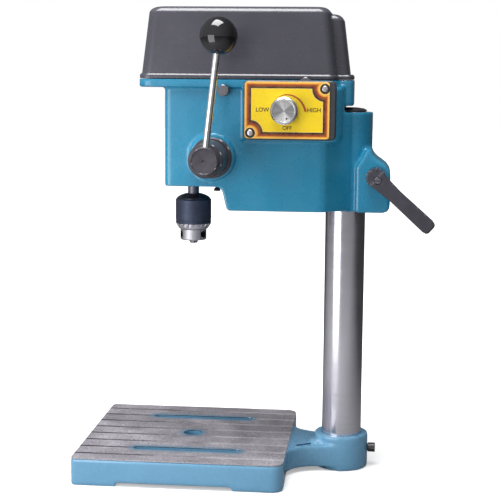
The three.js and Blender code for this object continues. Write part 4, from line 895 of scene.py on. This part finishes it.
# ------------------------------------------------------------------ feed handle
prof = []
for i in range(18):
    for a, r in ((-6.4, 7.85), (-4.2, 8.7), (-1.9, 9.85), (1.9, 9.85), (4.2, 8.7), (6.4, 7.85)):
        tt = PI + 2 * PI * i / 18 + math.radians(a)
        prof.append(Vector((PIN_Y + r * math.cos(tt), PIN_Z + r * math.sin(tt))))
sh = add(prism(prof, -7, 7, "x"), turn_x(soft([(0, -50), (2.9, -50), (2.9, -38), (6, -38), (6, 56), (0, 56)], 0.3), PIN_Y, PIN_Z, 64))
piece("pinion_bar", sh, "feed", BRIGHT_X, ("pinion_shaft",))
RD = Vector((0, math.sin(ROD_TILT), math.cos(ROD_TILT)))


def on_rod(s):
    return Vector((ROD_X, PIN_Y, PIN_Z)) + RD * s


hub = turn_x(soft([(0, 42), (14.6, 42), (15.3, 42.7), (15.3, 45.5, 0.3), (14.5, 46.4, 0.3), (12.8, 46.4, 0.5), (12.8, 76.4, 0.5), (12.1, 77.5, 0.4), (10.4, 78.2, 0.3), (10.4, 86.7, 0.4), (9.8, 87.5, 0.3), (9.0, 87.5, 0.2),
                   (8.6, 86.9, 0.2), (1.5, 86.7, 0.15), (0.9, 85.8, 0.15), (0, 85.8)], 0.3, 4), PIN_Y, PIN_Z, 96)
hub = cut(hub, cyl_x(6.2, 30, 56.3, PIN_Y, PIN_Z), rod(ROD_R + 0.25, on_rod(2), on_rod(20)))
hub = cut(hub, turn([(0, 0), (3.0, 0), (3.7, 4), (0, 4)], on_rod(9.15), RD, 40))
piece("hub_turned", hub, "feed", HUB_BLACK, ("feed_hub",))
piece("rod_chromed", turn(soft([(0, 2.4), (ROD_R, 2.4), (ROD_R, ROD_LEN - 6.4), (1.7, ROD_LEN - 6), (1.7, ROD_LEN + 2), (0, ROD_LEN + 2)], 0.2), (ROD_X, PIN_Y, PIN_Z), RD, 48),
      "feed", CHROME, ("handle_rod",))
bp = [(0, -BALL_R * 0.93), (4.3, -BALL_R * 0.945, 0.2)]
t0 = math.acos(4.3 / BALL_R)
bp.append((4.5, -BALL_R * 0.938))
for i in range(40):
    tt = -1.21 + (PI / 2 + 1.21) * i / 39
    bp.append((0 if i == 39 else BALL_R * math.cos(tt), BALL_R * math.sin(tt), 0))
ball = turn(soft(bp, 0.2), on_rod(ROD_LEN), RD, 96)
ball = cut(ball, rod(2.9, on_rod(ROD_LEN - 20), on_rod(ROD_LEN - 5.4)), rod(2.1, on_rod(ROD_LEN - 8), on_rod(ROD_LEN + 2.6)))
piece("ball_grip", ball, "feed", BALL_PLASTIC, ("handle_ball",))
hs_ = turn_x(soft([(0, -52.4), (12.6, -52.4, 0.6), (13.8, -51.2, 0.5), (13.8, -39), (0, -39)], 0.3, 4), PIN_Y, PIN_Z, 96)
hs_ = cut(hs_, cyl_x(12.2, -50.6, -30, PIN_Y, PIN_Z, 72))
hs_ = cut(hs_, join(*[rod(0.9, (-53, PIN_Y + 9.4 * math.cos(a), PIN_Z + 9.4 * math.sin(a)), (-51.9, PIN_Y + 9.4 * math.cos(a), PIN_Z + 9.4 * math.sin(a)), 20) for a in (0.5, 0.5 + PI)]))
piece("spring_can", hs_, "head", BOLT_DARK, ("spring_housing",))

# ------------------------------------------------------------------ speed control
def box_outline(o, r):
    return rounded([(BOX["y0"] + o, BOX["z0"] + o, r), (BOX["y1"] - o, BOX["z0"] + o, r), (BOX["y1"] - o, BOX["z1"] - o, r), (BOX["y0"] + o, BOX["z1"] - o, r)], 8)


cbx = prism(box_outline(0, 4), BOX["x0"], BOX["x1"], "x", 0, 1.3, 5)
cbx = cut(cbx, prism(box_outline(2, 2), BOX["x0"] - 1, BOX["x1"] - 2, "x"), cyl_x(3.6, 40, 60, KNOB_Y, KNOB_Z), box(30, 45.4, 85.6, 95.6, 290, 310))
for y, z in SCREWS:
    cbx = cut(add(cbx, cyl_x(3.6, BOX["x0"], BOX["x1"] - 1, y, z)), cyl_x(1.7, 44, 60, y, z, 24))
piece("control_housing", cbx, "head", BOX_PLASTIC, ("control_box",))
pp = prism(rounded([(PLATE["y0"], PLATE["z0"], 2.5), (PLATE["y1"], PLATE["z0"], 2.5), (PLATE["y1"], PLATE["z1"], 2.5), (PLATE["y0"], PLATE["z1"], 2.5)], 8), PLATE["x0"], PLATE["x1"] - 0.05, "x", 0, 0.3)
pp = cut(pp, cyl_x(3.9, 40, 60, KNOB_Y, KNOB_Z), *[cyl_x(3.65, 40, 60, y, z, 48) for y, z in SCREWS])
piece("control_panel", pp, "head", PANEL, ("control_plate",))


def lettering(name, body, y, z, size, ink):
    """Flat printed word, standing a hair proud of the panel."""
    cu = bpy.data.curves.new(name, "FONT")
    cu.body, cu.size, cu.align_x, cu.align_y, cu.extrude, cu.offset = body, size, "CENTER", "CENTER", 0.03, 0.075
    ob = link(cu, name + "_c")
    dg = bpy.context.evaluated_depsgraph_get()
    me = bpy.data.meshes.new_from_object(ob.evaluated_get(dg))
    bpy.data.objects.remove(ob)
    me.transform(Matrix(((0, 0, 1, PLATE["x1"] - 0.03), (1, 0, 0, y), (0, 1, 0, z), (0, 0, 0, 1))))
    return piece(name, link(me), "head", ink, (), 30, False)


lettering("word_low", "LOW", 59.6, 280.75, 4.2, INK)
lettering("word_high", "HIGH", 97.4, 280.75, 4.2, INK)
lettering("word_off", "OFF", 77.9, 267.6, 4.0, INK)
arc_o, arc_i = [], []
for i in range(41):
    f = i / 40
    a = math.radians(126 - 129 * f)
    w = 0.25 + 1.4 * f ** 0.8
    rr = 10.55 + 3.2 * f + 1.3 * f ** 4
    arc_o.append(Vector((KNOB_Y + (rr + w / 2) * math.cos(a), KNOB_Z + (rr + w / 2) * math.sin(a))))
    arc_i.append(Vector((KNOB_Y + (rr - w / 2) * math.cos(a), KNOB_Z + (rr - w / 2) * math.sin(a))))
piece("speed_arc", prism((arc_o + arc_i[::-1])[::-1], PLATE["x1"] - 0.06, PLATE["x1"] - 0.01, "x"), "head", ARC_INK, (), 30, False)

for i, (y, z) in enumerate(SCREWS):
    s = turn_x(soft([(0, 44.6), (1.45, 44.6), (1.45, 49.8), (2.45, 49.8, 0.1), (2.45, 50.5, 0.2), (1.9, 51.25, 0.4), (0, 51.5)], 0.15), y, z, 48)
    s = cut(s, join(box(50.7, 53, y - 1.5, y - 0.36, z - 0.35, z + 0.35), box(50.7, 53, y + 0.36, y + 1.5, z - 0.35, z + 0.35)), box(50.7, 53, y - 0.35, y + 0.35, z - 1.5, z + 1.5))
    piece(f"panel_screw_{i + 1}_cross", s, "head", BRIGHT_X, (f"panel_screw_{i + 1}",))
kp = []
for i in range(144):
    a = 2 * PI * i / 144
    kp.append(Vector((KNOB_Y + (KNOB_R - (0.14 if i % 3 == 0 else 0.0)) * math.cos(a), KNOB_Z + (KNOB_R - (0.14 if i % 3 == 0 else 0.0)) * math.sin(a))))
kb = turn_x(soft([(0, 54), (3.35, 54), (3.35, 51.2), (KNOB_R, 51.2, 0.2), (KNOB_R, 61.1, 0.1), (KNOB_R - 1.0, 62.1, 0.2), (KNOB_R - 1.9, 62.1, 0.2), (KNOB_R - 2.3, 61.85, 0.2), (0, 61.6)], 0.2, 4), KNOB_Y, KNOB_Z, 144)
kb = common(kb, add(prism(kp, 52.2, 60.6, "x"), cyl_x(KNOB_R + 1, 50, 52.3, KNOB_Y, KNOB_Z, 96), cyl_x(KNOB_R + 1, 60.5, 64, KNOB_Y, KNOB_Z, 96)))
piece("knob_spun", kb, "knob", KNOB_ALU, ("speed_knob",))
ka = math.radians(-70)
piece("knob_pointer", turn_x(soft([(0, 61.5), (0.75, 61.5), (0.75, 61.9), (0, 62.0)], 0.1), KNOB_Y + 6.0 * math.cos(ka), KNOB_Z + 6.0 * math.sin(ka), 32), "knob", INK, ())

# ------------------------------------------------------------------ clamp lever
LD = Vector((math.cos(LEVER_A), math.sin(LEVER_A)))
LN = Vector((-LD.y, LD.x))


def on_lever(s, w):
    return Vector((CLAMP_Y, CLAMP_Z)) + LD * s + LN * w


serr = []
for i in range(14):
    for f, r in ((0.05, 7.55), (0.45, 7.55), (0.55, 6.5), (0.95, 6.5)):
        tt = 2 * PI * (i + f) / 14
        serr.append(Vector((CLAMP_Y + r * math.cos(tt), CLAMP_Z + r * math.sin(tt))))
lv = prism(serr, 24.7, 41.5, "x", 0.2, 0.4)
outline = [on_lever(0, -6.6), on_lever(20, -5.2), on_lever(LEVER_LEN - 4, -5.6), on_lever(LEVER_LEN - 1, -4.8), on_lever(LEVER_LEN, -3), on_lever(LEVER_LEN, 3),
           on_lever(LEVER_LEN - 1, 4.8), on_lever(LEVER_LEN - 4, 5.6), on_lever(20, 5.2), on_lever(0, 6.6)]
lv = add(lv, prism(outline, 34, 42.4, "x", 0.8, 1.6, 4))
lv = cast(lv, 0.42, 2)
ribs = []
for k in range(4):
    q0, q1 = on_lever(-9 + 1.9 * k, 1.2 + 0.8 * k), on_lever(-9 + 1.9 * k + 9.5, 10.5)
    du = (q1 - q0).normalized() * 1.0
    pv = Vector((-du.y, du.x)) * 0.42
    ribs.append(prism([q0 - pv, q1 - pv, q1 + pv, q0 + pv], 41.1, 46, "x"))
lv = cut(lv, *ribs)
lv = cut(lv, cyl_x(3.3, 10, 36.4, CLAMP_Y, CLAMP_Z), cyl_x(3.1, 38.6, 60, CLAMP_Y + 1.6, CLAMP_Z - 1.6))
piece("lever_arm", lv, "clamp", LEVER_CAST, ("clamp_lever",), 40)
ls = turn_x(soft([(0, 38.9), (2.8, 38.9), (2.8, 41.6, 0.4), (0, 41.6)], 0.15), CLAMP_Y + 1.6, CLAMP_Z - 1.6, 48)
ls = cut(ls, box(40.4, 43, CLAMP_Y + 1.6 - 3, CLAMP_Y + 1.6 + 3, CLAMP_Z - 2.1, CLAMP_Z - 1.1))
piece("lever_hub_screw", ls, "clamp", NECK_STEEL, ("lever_screw",))
piece("clamp_stud", turn_x(soft([(0, -27.5), (2.7, -27.5), (3.1, -26.9), (3.1, 36), (0, 36)], 0.2), CLAMP_Y, CLAMP_Z, 48), "clamp", BRIGHT_X, ("clamp_screw",))
cn = prism(circle(CLAMP_Y, CLAMP_Z, 5.75, 6), -25.6, -20, "x")
cn = common(cn, turn_x([(0, -25.6), (5.0, -25.6), (5.9, -24.8), (5.9, -19), (0, -19)], CLAMP_Y, CLAMP_Z, 48))
piece("clamp_hex_nut", cut(cn, cyl_x(3.4, -40, 0, CLAMP_Y, CLAMP_Z)), "head", BRIGHT_X, ("clamp_nut",))

# ------------------------------------------------------------------ power inlet
pi_ = turn_x(soft([(0, -38.4), (2.7, -38.4, 0.2), (2.7, -41.2, 0.3), (7.4, -41.2, 1.0), (7.4, -37.3), (5.6, -37.3), (5.6, -29), (0, -29)], 0.25, 4), 96, 226, 72)
pi_ = add(pi_, turn_x(soft([(0, -40.6), (0.8, -40.6), (0.8, -38), (0, -38)], 0.15), 96, 226, 24))
piece("inlet_socket", pi_, "head", BOX_PLASTIC, ("power_inlet",))

# ------------------------------------------------------------------ finishes on the CAD nodes that stay
CAD_FINISH = {"return_spring": SPRING_METAL, "potentiometer": MOTOR_METAL, "control_board": BOARD_GREEN, "pot_shaft": BRIGHT_X}
for node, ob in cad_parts.items():
    mat = CAD_FINISH.get(node, BRIGHT_X)
    ob.data.materials.clear()
    ob.data.materials.append(mat)

# ------------------------------------------------------------------ floor, light and camera
# Painted light on the floor: it glows for camera rays, less strongly near the base; for all other rays its colour is
# darker toward -X and +Y, a painted shade that the parts see in reflections and bounce light.
fm = Mat("floor_paper", (0.9, 0.9, 0.9), 0.0, 0.9)
sp = fm.n("ShaderNodeSeparateXYZ", {"Vector": fm.co})
far = fm.math("SQRT", fm.math("ADD", fm.math("MULTIPLY", sp.outputs[0], sp.outputs[0]), fm.math("MULTIPLY", sp.outputs[1], sp.outputs[1])))
seen = fm.n("ShaderNodeLightPath").outputs["Is Camera Ray"]
paper = fm.ramp(fm.noise(3.0, 3, 0.5), [(0.3, (0.9, 0.9, 0.9)), (0.7, (0.93, 0.93, 0.93))])
away = fm.math("ADD", fm.math("MULTIPLY", sp.outputs[0], 0.8), fm.math("MULTIPLY", sp.outputs[1], -0.5))
bounce = fm.ramp(fm.span(fm.math("ADD", away, fm.math("MULTIPLY", fm.noise(2.0, 2, 0.5), 0.04)), -0.35, 0.3, 0.0, 1.0), [(0.0, (0.04, 0.04, 0.04)), (1.0, (0.42, 0.42, 0.42))])
fm.color(fm.mix(seen, bounce, paper))
fm.b.inputs["Emission Color"].default_value = (1, 1, 1, 1)
fm.put(fm.b.inputs["Emission Strength"], fm.math("MULTIPLY", seen, fm.span(far, 0.1, 0.34, 0.35, 1.0)))
fv = circle(0, 0, 6000, 96)
floor = mesh([(v.x * 0.001, v.y * 0.001, 0.0) for v in fv], [tuple(range(96))])
floor.name = "floor"
floor.location.z = -0.0002
floor.data.materials.append(fm.m)

scene = bpy.context.scene
w = bpy.data.worlds.new("studio")
scene.world = w
w.use_nodes = True
nt = w.node_tree
nt.nodes.clear()
out = nt.nodes.new("ShaderNodeOutputWorld")
tc = nt.nodes.new("ShaderNodeTexCoord")
mr = nt.nodes.new("ShaderNodeMapRange")
mr.interpolation_type = "LINEAR"
for k, v in (("From Min", -0.55), ("From Max", 0.95), ("To Min", 0.15), ("To Max", 0.95)):
    mr.inputs[k].default_value = v
side = nt.nodes.new("ShaderNodeVectorMath")
side.operation = "DOT_PRODUCT"
side.inputs[1].default_value = (0.8, -0.5, 0.2)
nt.links.new(tc.outputs["Generated"], side.inputs[0])
nt.links.new(side.outputs["Value"], mr.inputs["Value"])
bg1, bg2 = nt.nodes.new("ShaderNodeBackground"), nt.nodes.new("ShaderNodeBackground")
cr = nt.nodes.new("ShaderNodeCombineColor")
for i in range(3):
    nt.links.new(mr.outputs[0], cr.inputs[i])
nt.links.new(cr.outputs[0], bg1.inputs["Color"])
bg2.inputs["Color"].default_value = (1, 1, 1, 1)
lp = nt.nodes.new("ShaderNodeLightPath")
mx = nt.nodes.new("ShaderNodeMixShader")
nt.links.new(lp.outputs["Is Camera Ray"], mx.inputs[0])
nt.links.new(bg1.outputs[0], mx.inputs[1])
nt.links.new(bg2.outputs[0], mx.inputs[2])
nt.links.new(mx.outputs[0], out.inputs[0])
bg1.inputs["Strength"].default_value = 0.78
bg2.inputs["Strength"].default_value = 1.0


def area(name, loc, target, size, power, size_y=None, color=(1, 1, 1)):
    li = bpy.data.lights.new(name, "AREA")
    li.energy, li.size, li.color = power, size, color
    if size_y:
        li.shape, li.size_y = "RECTANGLE", size_y
    ob = bpy.data.objects.new(name, li)
    COLL.objects.link(ob)
    ob.location = loc
    ob.rotation_mode = "QUATERNION"
    ob.rotation_quaternion = (Vector(target) - Vector(loc)).to_track_quat("-Z", "Y")
    return ob


area("top_box", (0.16, -0.1, 1.15), (0, 0, 0.15), 0.62, 15.0)
area("front_box", (0.43, -0.33, 0.17), (0.0, -0.02, 0.22), 0.36, 1.5)

# camera at the photograph's viewing angle
CAM = (992.976544532351, 146.73323862398408, 308.65473904058496)
YAW, PITCH, ROLL, FPX = 0.10082800344216533, 0.13815408661923176, 0.00859223077211338, 1285.6111548054332
f = Vector((-math.cos(YAW) * math.cos(PITCH), -math.sin(YAW) * math.cos(PITCH), -math.sin(PITCH)))
r = f.cross(Vector((0, 0, 1))).normalized()
u = r.cross(f)
r2, u2 = r * math.cos(ROLL) + u * math.sin(ROLL), u * math.cos(ROLL) - r * math.sin(ROLL)
cd = bpy.data.cameras.new("camera")
cam = bpy.data.objects.new("camera", cd)
COLL.objects.link(cam)
rm = Matrix((r2, u2, -f)).transposed().to_4x4()
cam.matrix_world = Matrix.Translation(((CAM[0] - OX) * 0.001, (CAM[1] - OY) * 0.001, CAM[2] * 0.001)) @ rm
cd.sensor_width, cd.sensor_height, cd.sensor_fit = 36.0, 36.0, "HORIZONTAL"
cd.lens = FPX * 36.0 / 500.0
cd.clip_start, cd.clip_end = 0.05, 30.0
scene.camera = cam
scene.view_settings.view_transform = "Standard"
scene.view_settings.look = "None"
